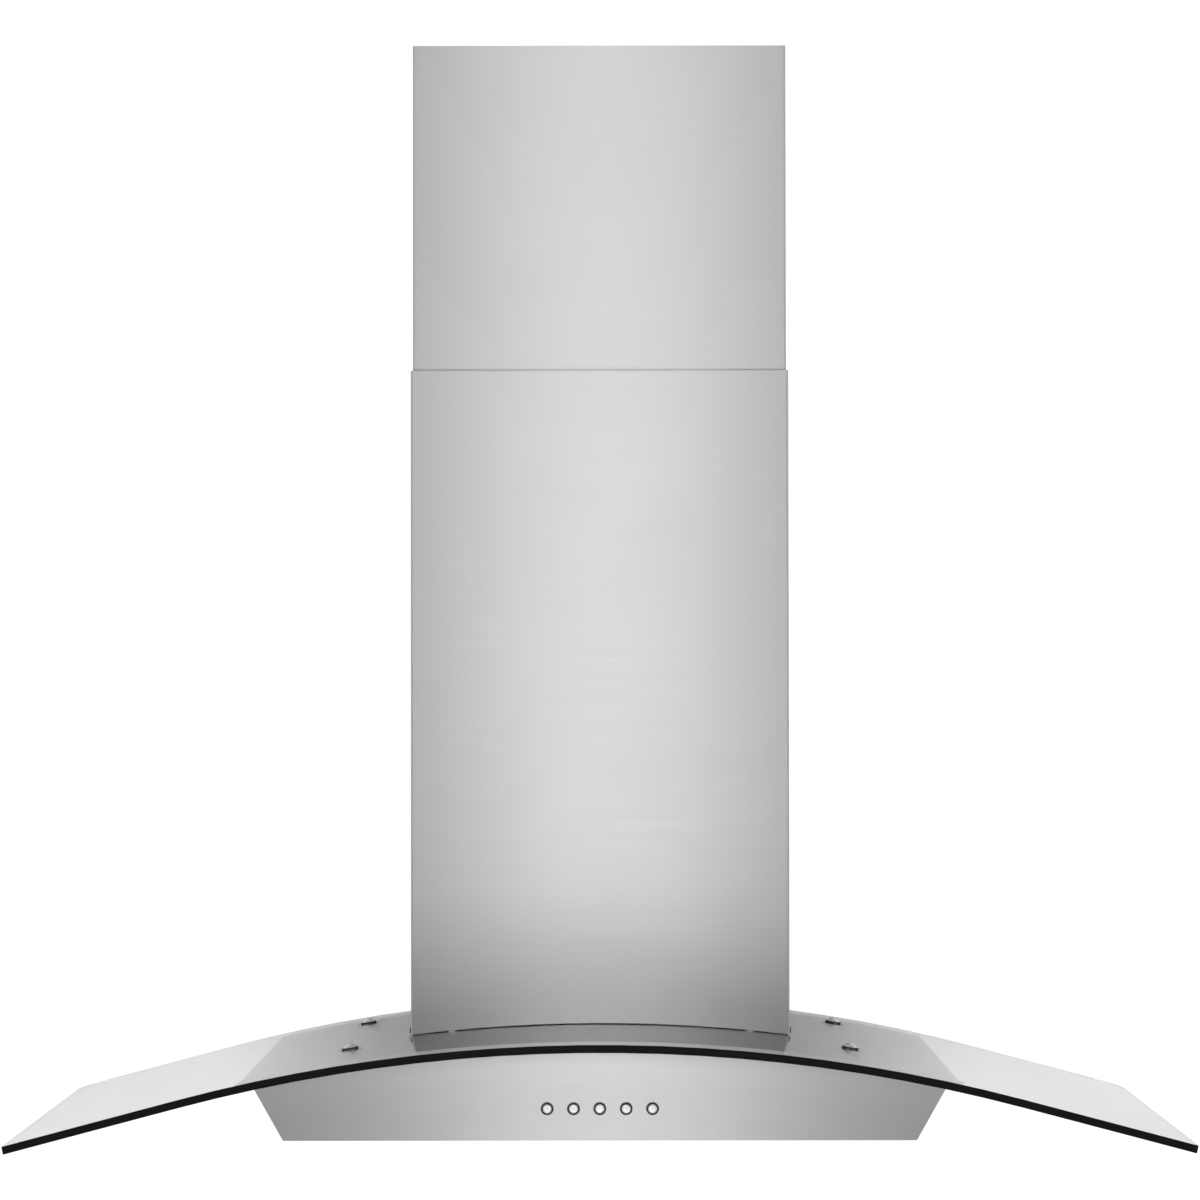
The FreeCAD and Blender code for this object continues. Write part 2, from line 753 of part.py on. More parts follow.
def spider_screw_places():
    face_x = scroll_half_width + spider_sheet
    reach = spider_screw_reach
    return [
        V(face_x, scroll_centre_y + reach * math.cos(angle), impeller_z + reach * math.sin(angle))
        for angle in spider_directions()
    ]


def spider_screw_holes():
    shank = small_screw_radius + thread_gap
    return [
        rod(shank, 2 * (spider_sheet + scroll_wall), place - X_AXIS * (spider_sheet + scroll_wall), X_AXIS)
        for place in spider_screw_places()
    ]


def motor_bracket():
    """A flat spider across the right inlet that carries the motor."""
    centre = V(scroll_half_width, scroll_centre_y, impeller_z)
    arm = box(0, spider_sheet, 0, spider_arm_reach, -spider_arm_width / 2, spider_arm_width / 2)
    arms = []
    for angle in spider_directions():
        turned = arm.copy()
        turned.Placement = FreeCAD.Placement(centre, FreeCAD.Rotation(X_AXIS, math.degrees(angle)))
        arms.append(turned)
    disc = rod(spider_disc_radius, spider_sheet, centre, X_AXIS)
    return joined([disc] + arms).cut(spider_screw_holes())


def motor():
    length = scroll_half_width - motor_front_x
    centre = V(motor_front_x, scroll_centre_y, impeller_z)
    can = rod(motor_radius, length, centre, X_AXIS)
    boss = rod(motor_boss_radius, motor_boss_length, centre - X_AXIS * motor_boss_length, X_AXIS)
    bore_length = shaft_right_x - motor_front_x + motor_boss_length + shaft_fit
    bore = rod(shaft_radius + shaft_fit, bore_length, centre - X_AXIS * motor_boss_length, X_AXIS)
    return can.fuse(boss).removeSplitter().cut(bore)


def impeller():
    axis_point = V(0, scroll_centre_y, impeller_z)
    ring_inner = impeller_radius - impeller_ring
    disc = rod(impeller_radius, impeller_disc, axis_point - X_AXIS * (impeller_disc / 2), X_AXIS)
    hub = rod(hub_radius, hub_right_x - hub_left_x, axis_point + X_AXIS * hub_left_x, X_AXIS)
    shapes = [disc, hub]
    for x in (-impeller_half_width, impeller_half_width - impeller_ring_width):
        shapes.append(tube(impeller_radius, ring_inner, impeller_ring_width, axis_point + X_AXIS * x, X_AXIS))
    blade = box(-impeller_half_width, impeller_half_width, -blade_depth / 2, blade_depth / 2,
                -blade_thickness / 2, blade_thickness / 2)
    middle = impeller_radius - impeller_ring / 2 - blade_thickness
    for i in range(impeller_blades):
        angle = 360 * i / impeller_blades
        turned = blade.copy()
        turned.rotate(V(0, 0, 0), X_AXIS, blade_lean)
        turned.translate(V(0, middle, 0))
        turned.rotate(V(0, 0, 0), X_AXIS, angle)
        turned.translate(axis_point)
        shapes.append(turned)
    wheel = joined(shapes)
    hub_start = axis_point + X_AXIS * hub_left_x
    return wheel.cut(rod(shaft_radius + shaft_fit / 2, hub_right_x - hub_left_x, hub_start, X_AXIS))


def blower():
    axis_start = V(shaft_left_x, scroll_centre_y, impeller_z)
    right = scroll_half()
    screws = [
        pan_screw(small_screw_radius, spider_sheet + scroll_wall, small_screw_head_radius,
                  small_screw_head_height, place, X_AXIS * -1)
        for place in spider_screw_places()
    ]
    rear_screws = [
        pan_screw(small_screw_radius, housing_sheet + back_sheet, small_screw_head_radius,
                  small_screw_head_height, place, Y_AXIS)
        for place in housing_screw_places()
    ]
    drilled = right.cut(spider_screw_holes())
    return {
        "blower_housing": [blower_housing()],
        "scroll_left_half": [mirror_copy(right)],
        "scroll_right_half": [drilled],
        "motor_bracket": [motor_bracket()],
        "motor_bracket_screws": screws,
        "blower_motor": [motor()],
        "motor_shaft": [rod(shaft_radius, shaft_right_x - shaft_left_x, axis_start, X_AXIS)],
        "impeller": [impeller()],
        "housing_screws": rear_screws,
    }


# ------------------------------------------------------------------ outlet collar and flaps
def collar_screw_places():
    reach = collar_screw_circle / math.sqrt(2)
    z = collar_base_z + collar_sheet
    return [V(sx * reach, collar_y + sy * reach, z) for sx in (-1, 1) for sy in (-1, 1)]


def outlet_collar():
    base = V(0, collar_y, collar_base_z)
    inner = collar_inner_radius
    wall = tube(collar_radius, inner, collar_height, base, Z_AXIS)
    flange = tube(collar_flange_radius, inner, collar_sheet, base, Z_AXIS)
    stop_z = flap_rise - flap_thickness / 2 - panel_gap - collar_stop_height
    stop = tube(inner, inner - collar_stop_width, collar_stop_height, base + Z_AXIS * stop_z, Z_AXIS)
    collar = joined([wall, flange, stop])
    rod_start = V(-collar_radius, collar_y, flap_z)
    holes = [rod(flap_rod_radius + thread_gap, 2 * collar_radius, rod_start, X_AXIS)]
    shank = small_screw_radius + thread_gap
    for place in collar_screw_places():
        holes.append(rod(shank, 2 * collar_sheet, place - Z_AXIS * collar_sheet, Z_AXIS))
    return collar.cut(holes)


def flap_knuckle_starts():
    """Left ends of four knuckles on the rod: the front flap's and the rear flap's by turns."""
    pitch = flap_knuckle + flap_knuckle_gap
    return [(i - 2) * pitch + flap_knuckle_gap / 2 for i in range(4)]


def damper_flap(front):
    """One half disc that hinges on the rod, toward the front or the rear of it."""
    toward = -1 if front else 1
    radius = collar_inner_radius - flap_edge_gap
    disc = rod(radius, flap_thickness, V(0, collar_y, flap_z - flap_thickness / 2), Z_AXIS)
    near = collar_y + toward * (flap_barrel_radius + flap_relief)
    far = collar_y + toward * collar_radius
    low_z = flap_z - flap_thickness / 2
    high_z = flap_z + flap_thickness / 2
    leaf = disc.common(box(-collar_radius, collar_radius, min(near, far), max(near, far), low_z, high_z))
    knuckles = []
    for i, start in enumerate(flap_knuckle_starts()):
        if (i % 2 == 0) == front:
            end = start + flap_knuckle
            knuckles.append(rod(flap_barrel_radius, flap_knuckle, V(start, collar_y, flap_z), X_AXIS))
            knuckles.append(box(start, end, min(collar_y, near), max(collar_y, near), low_z, high_z))
    flap = joined([leaf] + knuckles)
    rod_start = V(-collar_radius, collar_y, flap_z)
    return flap.cut(rod(flap_rod_radius + flap_barrel_fit, 2 * collar_radius, rod_start, X_AXIS))


def outlet():
    base = V(0, collar_y, housing_top_z)
    gasket = tube(collar_flange_radius, collar_inner_radius, collar_gasket, base, Z_AXIS)
    shank = small_screw_radius + thread_gap
    starts = [V(place.x, place.y, housing_top_z) for place in collar_screw_places()]
    gasket = gasket.cut([rod(shank, collar_gasket, start, Z_AXIS) for start in starts])
    grip = collar_sheet + collar_gasket + housing_sheet
    screws = [
        pan_screw(small_screw_radius, grip, small_screw_head_radius, small_screw_head_height,
                  place, Z_AXIS * -1)
        for place in collar_screw_places()
    ]
    return {
        "outlet_collar": [outlet_collar()],
        "collar_gasket": [gasket],
        "collar_screws": screws,
        "flap_rod": [rod(flap_rod_radius, 2 * collar_radius, V(-collar_radius, collar_y, flap_z), X_AXIS)],
        "front_damper_flap": [damper_flap(True)],
        "rear_damper_flap": [damper_flap(False)],
    }


# ------------------------------------------------------------------ electrical parts
def electrical():
    x0 = terminal_box_left_x
    x1 = x0 + terminal_box_width
    y0 = terminal_box_front_y
    y1 = terminal_box_rear_y
    z0 = housing_top_z
    z1 = z0 + terminal_box_height
    wall = terminal_box_wall
    middle_y = (y0 + y1) / 2
    tray = box(x0, x1, y0, y1, z0, z1 - wall)
    tray = tray.cut(box(x0 + wall, x1 - wall, y0 + wall, y1 - wall, z0 + wall, z1))
    lid = box(x0, x1, y0, y1, z1 - wall, z1)
    gland_foot = V(x0 + gland_inset, middle_y, z1 - gland_inside_length)
    lid = lid.cut(rod(gland_barrel_radius + thread_gap, terminal_box_height, gland_foot, Z_AXIS))
    block_x = (x0 + x1) / 2
    block = box(block_x - terminal_block_width / 2, block_x + terminal_block_width / 2,
                middle_y - terminal_block_depth / 2, middle_y + terminal_block_depth / 2,
                z0 + wall, z0 + wall + terminal_block_height)
    barrel_length = gland_inside_length + gland_hex_length + gland_nose_length
    hex_foot = gland_foot + Z_AXIS * gland_inside_length
    gland = joined([
        rod(gland_barrel_radius, barrel_length, gland_foot, Z_AXIS),
        hex_prism(gland_hex, gland_hex_length, hex_foot, Z_AXIS),
        rod(gland_nose_radius, gland_nose_length, hex_foot + Z_AXIS * gland_hex_length, Z_AXIS),
    ])
    gland = gland.cut(rod(gland_bore_radius, barrel_length, gland_foot, Z_AXIS))
    can_z = housing_top_z + capacitor_radius + clamp_sheet + thread_gap
    can_start = V(capacitor_left_x, middle_y, can_z)
    can = rod(capacitor_radius, capacitor_length, can_start, X_AXIS)
    clamp_x = capacitor_left_x + (capacitor_length - clamp_width) / 2
    clamp_inner = capacitor_radius + thread_gap
    band = rod(clamp_inner + clamp_sheet, clamp_width, V(clamp_x, middle_y, can_z), X_AXIS)
    foot_reach = clamp_inner + clamp_sheet + clamp_foot
    foot = box(clamp_x, clamp_x + clamp_width, middle_y, middle_y + foot_reach, z0, z0 + clamp_sheet)
    clamp = joined([band, foot]).cut(rod(clamp_inner, clamp_width, V(clamp_x, middle_y, can_z), X_AXIS))
    return {
        "terminal_box": [tray],
        "terminal_box_cover": [lid],
        "terminal_block": [block],
        "cable_inlet_gland": [gland],
        "motor_capacitor": [can],
        "capacitor_clamp": [clamp],
    }


# ------------------------------------------------------------------ duct covers
def cover_shell(half, depth, back_y, z0, z1):
    """A bent sheet, open toward the wall, with a narrow flange along each rear edge."""
    front_y = back_y - depth
    sheet = cover_sheet
    outer = box(-half, half, front_y, back_y, z0, z1)
    outer = outer.makeFillet(cover_bend, upright_edges(outer, front_y))
    inner = box(-half + sheet, half - sheet, front_y + sheet, back_y - sheet, z0, z1)
    inner = inner.makeFillet(cover_bend - sheet, upright_edges(inner, front_y + sheet))
    gap = half - cover_flange
    return outer.cut([inner, box(-gap, gap, back_y - sheet, back_y, z0, z1)])


def cover_screw_places():
    """Where the lower cover's screws pass through its sides, just above the glass."""
    half = cover_width / 2
    z = arch_height(0, half) + cover_screw_rise
    y = -cover_depth + cover_screw_inset
    return [V(side * half, y, z) for side in (-1, 1)]


def top_screw_places():
    z = upper_cover_top_z - top_bracket_drop - top_bracket_height / 2
    return [V(side * upper_cover_half, top_screw_y, z) for side in (-1, 1)]


def cross_hole(radius, place):
    """A hole along X through a side wall at this place."""
    return rod(radius, 2 * cover_screw_length, place - X_AXIS * cover_screw_length, X_AXIS)


def side_screws(places):
    """Screws driven inward through the two side walls."""
    return [
        pan_screw(cover_screw_radius, cover_screw_length, cover_screw_head_radius, cover_screw_head_height,
                  place, X_AXIS * (-1 if place.x > 0 else 1))
        for place in places
    ]


def lower_duct_cover():
    half = cover_width / 2
    low_z = arch_height(0, half) - glass_thickness
    shell = cover_shell(half, cover_depth, 0, low_z, lower_cover_top_z)
    shell = shell.cut(under_arch(-cover_glass_gap))
    hole = cover_screw_radius + thread_gap
    return shell.cut([cross_hole(hole, place) for place in cover_screw_places()])


def upper_duct_cover():
    low_z = upper_cover_top_z - upper_cover_length
    shell = cover_shell(upper_cover_half, upper_cover_depth, upper_cover_back_y, low_z, upper_cover_top_z)
    hole = cover_screw_radius + thread_gap
    return shell.cut([cross_hole(hole, place) for place in top_screw_places()])


def cover_bracket():
    """A strip across the front of the blower housing, with an end tab along each side of the cover."""
    half = cover_width / 2 - cover_sheet - thread_gap
    sheet = cover_bracket_sheet
    y1 = housing_front_y
    strip = box(-half, half, y1 - sheet, y1, cover_bracket_bottom_z, cover_bracket_top_z)
    low_z = arch_height(0, half) + cover_bracket_end_drop
    front = -cover_depth + cover_bend + cover_sheet
    tabs = [
        box(half - sheet, half, front, y1, low_z, cover_bracket_top_z),
        box(-half, sheet - half, front, y1, low_z, cover_bracket_top_z),
    ]
    hole = cover_screw_radius + thread_gap
    return joined([strip] + tabs).cut([cross_hole(hole, place) for place in cover_screw_places()])


def top_bracket():
    """The wall strip that the upper cover is screwed to: it steps round the cover's rear flanges."""
    sheet = top_bracket_sheet
    half = upper_cover_half - cover_sheet - thread_gap
    inner = upper_cover_half - cover_flange - cover_slide_gap
    z1 = upper_cover_top_z - top_bracket_drop
    z0 = z1 - top_bracket_height
    step = -top_bracket_step
    right = [
        box(inner - sheet, inner, step, 0, z0, z1),
        box(inner - sheet, half, step, step + sheet, z0, z1),
        box(half - sheet, half, -top_bracket_arm, step + sheet, z0, z1),
    ]
    strip = box(-inner, inner, -sheet, 0, z0, z1)
    bracket = joined([strip] + right + [mirror_copy(piece) for piece in right])
    hole = cover_screw_radius + thread_gap
    holes = [cross_hole(hole, place) for place in top_screw_places()]
    middle_z = (z0 + z1) / 2
    for side in (-1, 1):
        start = V(side * top_bracket_hole_pitch / 2, -sheet, middle_z)
        holes.append(rod(top_bracket_hole_radius, sheet, start, Y_AXIS))
    return bracket.cut(holes)


def duct_covers():
    return {
        "lower_duct_cover": [lower_duct_cover()],
        "upper_duct_cover": [upper_duct_cover()],
        "cover_bracket": [cover_bracket()],
        "lower_cover_screws": side_screws(cover_screw_places()),
        "upper_wall_bracket": [top_bracket()],
        "upper_cover_screws": side_screws(top_screw_places()),
    }


# ------------------------------------------------------------------ the whole hood
def all_pieces():
    right_side = side_panel()
    pieces = {
        "glass_canopy": [glass_canopy()],
        "top_plate": [top_plate()],
        "front_panel": [front_panel()],
        "left_side_panel": [mirror_copy(right_side)],
        "right_side_panel": [right_side],
        "back_panel": [back_panel()],
        "bottom_panel": [bottom_panel()],
    }
    for group in (glass_fixings, filters, lamps, controls, blower, outlet, electrical, duct_covers):
        pieces.update(group())
    return pieces


def main():
    os.makedirs("parts", exist_ok=True)
    for name, shapes in all_pieces().items():
        solids = [solid for shape in shapes for solid in shape.Solids]
        shape = solids[0] if len(solids) == 1 else Part.makeCompound(solids)
        shape.exportStep(os.path.join("parts", name + ".step"))


main()
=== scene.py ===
"""Curved glass range hood: finishes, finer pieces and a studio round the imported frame.

Everything is in metres, in the frame's own axes: the wall is Y = 0, the front looks toward -Y, and Z = 0 is
the top of the glass at its crown.
"""
import math

import bmesh
import bpy
from mathutils import Matrix, Vector


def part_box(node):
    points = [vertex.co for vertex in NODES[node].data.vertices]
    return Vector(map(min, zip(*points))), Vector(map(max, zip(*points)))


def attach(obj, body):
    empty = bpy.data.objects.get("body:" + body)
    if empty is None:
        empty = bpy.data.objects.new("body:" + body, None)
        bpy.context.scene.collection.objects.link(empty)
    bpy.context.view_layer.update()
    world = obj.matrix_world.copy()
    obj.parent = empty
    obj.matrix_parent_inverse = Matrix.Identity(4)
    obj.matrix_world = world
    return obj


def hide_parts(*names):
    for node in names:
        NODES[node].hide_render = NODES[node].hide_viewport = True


bl_info = {
    "name": "Curved Glass Range Hood",
    "version": (1, 0, 0),
    "blender": (4, 5, 0),
    "location": "3D View > Sidebar > Range Hood",
    "description": "Dresses the range hood's frame with finishes, finer pieces and a studio",
    "category": "Object",
}

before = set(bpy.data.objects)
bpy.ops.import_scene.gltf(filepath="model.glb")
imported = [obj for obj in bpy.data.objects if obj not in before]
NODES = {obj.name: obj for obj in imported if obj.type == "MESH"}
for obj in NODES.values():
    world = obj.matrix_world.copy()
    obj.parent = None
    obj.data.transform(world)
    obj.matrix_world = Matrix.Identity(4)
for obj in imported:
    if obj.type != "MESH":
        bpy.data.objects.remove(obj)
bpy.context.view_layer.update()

BUTTONS = {
    "light_button": "",
    "fan_off_button": "0",
    "low_speed_button": "1",
    "medium_speed_button": "2",
    "high_speed_button": "3",
}
SIDES = ("left", "right")

# The normals past which a face of the glass is its front edge, which gets the painted dark reflection, or its
# underside, where the front band gets the painted reflection of light
FRONT_FACING = -0.35
DOWN_FACING = -0.5

# Angles, in radians
FLAT_ANGLE = math.radians(0.4)
SMOOTH_ANGLE = math.radians(35)
SHARP_ANGLE = math.radians(50)

# Widths of rounded edges, in metres
CLIP_EDGE = 0.0001
SHEET_EDGE = 0.0002
COVER_EDGE = 0.0003
MOULDED_EDGE = 0.0005
FRAME_EDGE = 0.0008

# Sizes of the finer pieces, in metres
CAP_LENGTH = 0.0102
STEM_RADIUS = 0.002
DIGIT_HEIGHT = 0.0028
DIAMOND_SHARE = 0.55
RING_BORE = 0.025
LENS_RIB = 0.0016
RIBS = 15
CHIPS_ROUND = 6
CHIP_CIRCLE = 0.013
CHIP_WIDTH = 0.004
CHIP_HEIGHT = 0.001
TAB_LENGTH = 0.007
RELAY_PLACES = (-0.036, -0.016, 0.004)
RELAY_SIZE = (0.015, 0.0145, 0.010)
CAN_PLACES = (0.019, 0.030)
HEADER_LEFT, HEADER_RIGHT = 0.038, 0.046
HEADER_DEPTH, HEADER_HEIGHT = 0.008, 0.018
PINS = 5
PIN_PITCH = 0.0035
TAB_PLACES = (-0.006, -0.0035, 0.0035, 0.006)

ZINC = (0.56, 0.575, 0.585)


# ------------------------------------------------------------------ settings
class HoodFinishSettings(bpy.types.PropertyGroup):
    """Colours and gloss of the hood's finishes"""

    steel: bpy.props.FloatVectorProperty(
        name="Steel", description="Colour of the brushed steel sheets", subtype="COLOR",
        default=(0.620, 0.620, 0.618), min=0, max=1)
    body_steel: bpy.props.FloatVectorProperty(
        name="Body Steel", description="Colour of the brushed steel of the body", subtype="COLOR",
        default=(0.490, 0.490, 0.488), min=0, max=1)
    steel_roughness: bpy.props.FloatProperty(
        name="Steel Roughness", description="How dull the brushed steel is", default=0.45, min=0, max=1,
        subtype="FACTOR")
    steel_spread: bpy.props.FloatProperty(
        name="Grain Spread", description="How far the brushing spreads a highlight across its grain",
        default=1.0, min=0, max=1, subtype="FACTOR")
    glass: bpy.props.FloatVectorProperty(
        name="Glass", description="Tint of the canopy glass", subtype="COLOR",
        default=(0.812, 0.822, 0.818), min=0, max=1)
    # Front edge of the glass: near-black colour, a painted dark reflection standing in for how the edge looks
    # dark
    glass_painted_dark_edge: bpy.props.FloatVectorProperty(
        name="Front Edge", description="Colour of the ground front edge of the glass", subtype="COLOR",
        default=(0.004, 0.004, 0.004), min=0, max=1)
    # Pale band under the front of the glass: a painted reflection of light, near-white colour standing in for
    # bright light seen through the glass's front
    glass_painted_light_band: bpy.props.FloatVectorProperty(
        name="Pale Band", description="Colour of the band under the front of the glass", subtype="COLOR",
        default=(0.96, 0.96, 0.96), min=0, max=1)
    button: bpy.props.FloatVectorProperty(
        name="Button Caps", description="Colour of the plated button caps", subtype="COLOR",
        default=(0.50, 0.50, 0.497), min=0, max=1)


class HoodDetailSettings(bpy.types.PropertyGroup):
    """Sizes of the finer pieces"""

    arris: bpy.props.FloatProperty(
        name="Glass Arris", description="Width of the ground bevel along the edges of the glass",
        default=0.0005, min=0.0001, max=0.002, unit="LENGTH")
    mesh_cell: bpy.props.FloatProperty(
        name="Mesh Cell", description="Length of one diamond of the filter mesh",
        default=0.0135, min=0.004, max=0.03, unit="LENGTH")
    mesh_strand: bpy.props.FloatProperty(
        name="Mesh Strand", description="Thickness of one strand of the filter mesh",
        default=0.0013, min=0.0004, max=0.003, unit="LENGTH")


class HoodStudioSettings(bpy.types.PropertyGroup):
    """The floor, the lamps and the surroundings"""

    floor_drop: bpy.props.FloatProperty(
        name="Floor", description="Height of the floor, from the top of the glass",
        default=-1.5, min=-4, max=-0.2, unit="LENGTH")
    ambient: bpy.props.FloatProperty(
        name="Ambient", description="Strength of the light that comes from all round",
        default=0.5, min=0, max=2)
    room: bpy.props.FloatProperty(
        name="Room", description="Brightness of the room that metal and glass mirror",
        default=0.05, min=0, max=2)
    softbox: bpy.props.FloatProperty(
        name="Softboxes", description="Brightness of the softboxes that metal and glass mirror at each side",
        default=0.85, min=0, max=2)
    ceiling: bpy.props.FloatProperty(
        name="Ceiling", description="Brightness overhead that metal and glass mirror",
        default=0.40, min=0, max=2)
    floor_white: bpy.props.FloatProperty(
        name="Floor White", description="How far the floor is lifted to white where it is seen directly",
        default=0.5, min=0, max=1, subtype="FACTOR")
    floor_mirrored: bpy.props.FloatProperty(
        name="Mirrored Floor", description="How far the floor is lifted to white where metal mirrors it",
        default=0.6, min=0, max=1, subtype="FACTOR")
    wall_mirrored: bpy.props.FloatProperty(
        name="Mirrored Wall", description="How far the wall is lifted to white where metal mirrors it",
        default=0.38, min=0, max=1, subtype="FACTOR")
    strip_power: bpy.props.FloatProperty(
        name="Strip Power", description="Power of the tall strip lamp in front of the hood",
        default=14.5, min=0, max=500, unit="POWER")
    side_power: bpy.props.FloatProperty(
        name="Side Power", description="Power of each of the two side lamps",
        default=3, min=0, max=500, unit="POWER")
    lens: bpy.props.FloatProperty(
        name="Lens", description="Focal length of the camera", default=130.11, min=20, max=400,
        unit="CAMERA")


def settings():
    """The scene's settings for the finishes, the finer pieces and the studio."""
    scene = bpy.context.scene
    return scene.hood_finish, scene.hood_detail, scene.hood_studio


# ------------------------------------------------------------------ node and mesh helpers
def put(tree, kind, options=None, **inputs):
    """Adds a node. Inputs are values or other nodes' outputs, named in lower case with underscores."""
    made = tree.nodes.new(kind)
    for name, value in (options or {}).items():
        setattr(made, name, value)
    for name, value in inputs.items():
        if name.startswith("slot_"):
            socket = made.inputs[int(name[5:])]
        else:
            socket = made.inputs[name.replace("_", " ").title().replace("Ior", "IOR")]
        if isinstance(value, bpy.types.NodeSocket):
            tree.links.new(value, socket)
        else:
            socket.default_value = value
    return made


def rgba(colour, factor=1.0):
    """A colour times a factor, opaque."""
    return (*(min(1.0, channel * factor) for channel in colour), 1.0)


def new_material(name):
    """An empty material and its node tree."""
    material = bpy.data.materials.new(name)
    material.use_nodes = True
    material.node_tree.nodes.clear()
    return material, material.node_tree


def finish_surface(tree, shader):
    """Shows this shader on the material's surface."""
    output = tree.nodes.new("ShaderNodeOutputMaterial")
    tree.links.new(shader.outputs[0], output.inputs["Surface"])


def pattern_space(tree, scale):
    """The piece's own coordinates, scaled for a pattern."""
    place = put(tree, "ShaderNodeTexCoord")
    return put(tree, "ShaderNodeMapping", vector=place.outputs["Object"], scale=scale).outputs[0]


def spread_map(tree, factor, low, high):
    """The factor's 0 to 1 spread from low to high."""
    span = put(tree, "ShaderNodeMapRange", value=factor, to_min=low, to_max=high)
    return span.outputs[0]


def two_tone(tree, factor, colour, low, high):
    """A colour that runs from low to high times itself with the factor."""
    mix = put(tree, "ShaderNodeMix", {"data_type": "RGBA"})
    tree.links.new(factor, mix.inputs[0])
    mix.inputs[6].default_value = rgba(colour, low)
    mix.inputs[7].default_value = rgba(colour, high)
    return mix.outputs[2]


def brushed_steel(name, colour, roughness, spread, grain, across):
    """Sheet steel brushed along the axis where grain is small; highlights spread along across."""
    material, tree = new_material(name)
    fine = put(tree, "ShaderNodeTexNoise", {"noise_dimensions": "3D"},
               vector=pattern_space(tree, grain), scale=1.0, detail=2.0, roughness=0.6)
    cloud = put(tree, "ShaderNodeTexNoise", {"noise_dimensions": "3D"},
                vector=pattern_space(tree, (16, 16, 16)), scale=1.0, detail=2.0)
    blend = put(tree, "ShaderNodeMath", {"operation": "MULTIPLY_ADD"},
                slot_0=cloud.outputs["Fac"], slot_1=0.25, slot_2=fine.outputs["Fac"])
    bump = put(tree, "ShaderNodeBump", strength=0.10, distance=0.00002, height=fine.outputs["Fac"])
    tangent = put(tree, "ShaderNodeCombineXYZ", x=across[0], y=across[1], z=across[2])
    shader = put(tree, "ShaderNodeBsdfPrincipled",
                 base_color=two_tone(tree, blend.outputs[0], colour, 0.96, 1.03),
                 roughness=spread_map(tree, blend.outputs[0], roughness - 0.03, roughness + 0.03),
                 metallic=1.0, anisotropic=spread, normal=bump.outputs[0], tangent=tangent.outputs[0])
    finish_surface(tree, shader)
    return material


def speckled(name, colour, roughness, metallic, scale, depth, spread=0.06, specular=0.5):
    """A plain finish with a fine cast or moulded grain."""
    material, tree = new_material(name)
    grain = put(tree, "ShaderNodeTexNoise", vector=pattern_space(tree, (scale,) * 3), scale=1.0, detail=4.0)
    bump = put(tree, "ShaderNodeBump", strength=0.3, distance=depth, height=grain.outputs["Fac"])
    shader = put(tree, "ShaderNodeBsdfPrincipled",
                 base_color=two_tone(tree, grain.outputs["Fac"], colour, 1 - 2 * spread, 1 + 2 * spread),
                 roughness=spread_map(tree, grain.outputs["Fac"], roughness - spread, roughness + spread),
                 metallic=metallic, specular_ior_level=specular, normal=bump.outputs[0])
    finish_surface(tree, shader)
    return material


def galvanised(name, colour):
    """Zinc-coated sheet with its spangle."""
    material, tree = new_material(name)
    space = pattern_space(tree, (90, 90, 90))
    spangle = put(tree, "ShaderNodeTexVoronoi", {"feature": "F1"}, vector=space, scale=1.0, randomness=1.0)
    tone = put(tree, "ShaderNodeSeparateColor", color=spangle.outputs["Color"])
    shader = put(tree, "ShaderNodeBsdfPrincipled",
                 base_color=two_tone(tree, tone.outputs[0], colour, 0.86, 1.08),
                 roughness=spread_map(tree, tone.outputs[1], 0.34, 0.5), metallic=1.0)
    finish_surface(tree, shader)
    return material


def circuit_board(name):
    """A lacquered board with its traces."""
    material, tree = new_material(name)
    traces = put(tree, "ShaderNodeTexBrick", {"offset": 0.5},
                 vector=pattern_space(tree, (1, 1, 1)), color1=(0.02, 0.16, 0.06, 1),
                 color2=(0.03, 0.20, 0.08, 1), mortar=(0.09, 0.33, 0.14, 1), scale=260.0, mortar_size=0.06)
    shader = put(tree, "ShaderNodeBsdfPrincipled", base_color=traces.outputs["Color"], roughness=0.35,
                 coat_weight=0.4, coat_roughness=0.15)
    finish_surface(tree, shader)
    return material


def clear_glass(name, colour, roughness):
    """Tinted glass, clear at a roughness of 0 and frosted above it, with a slight ripple."""
    material, tree = new_material(name)
    ripple = put(tree, "ShaderNodeTexNoise", vector=pattern_space(tree, (9, 9, 9)), scale=1.0, detail=1.0)
    bump = put(tree, "ShaderNodeBump", strength=0.02, distance=0.0002, height=ripple.outputs["Fac"])
    shader = put(tree, "ShaderNodeBsdfPrincipled", base_color=rgba(colour), roughness=roughness, ior=1.4,
                 transmission_weight=1.0, normal=bump.outputs[0])
    finish_surface(tree, shader)
    return material


def dress(material, *nodes):
    """Puts a material in every slot of these CAD nodes."""
    for name in nodes:
        for slot in NODES[name].material_slots:
            slot.material = material


def piece(name, shape, materials, body, stands_for=(), smooth=True):
    """Makes a finished piece from a bmesh, at the origin, on its body."""
    bmesh.ops.recalc_face_normals(shape, faces=shape.faces)
    mesh = bpy.data.meshes.new(name)
    shape.to_mesh(mesh)
    shape.free()
    if "custom_normal" in mesh.attributes:
        mesh.attributes.remove(mesh.attributes["custom_normal"])
    for material in materials:
        mesh.materials.append(material)
    made = bpy.data.objects.new(name, mesh)
    bpy.context.scene.collection.objects.link(made)
    if smooth:
        mesh.shade_smooth()
        mesh.set_sharp_from_angle(angle=SMOOTH_ANGLE)
    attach(made, body)
    if stands_for:
        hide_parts(*stands_for)
    return made


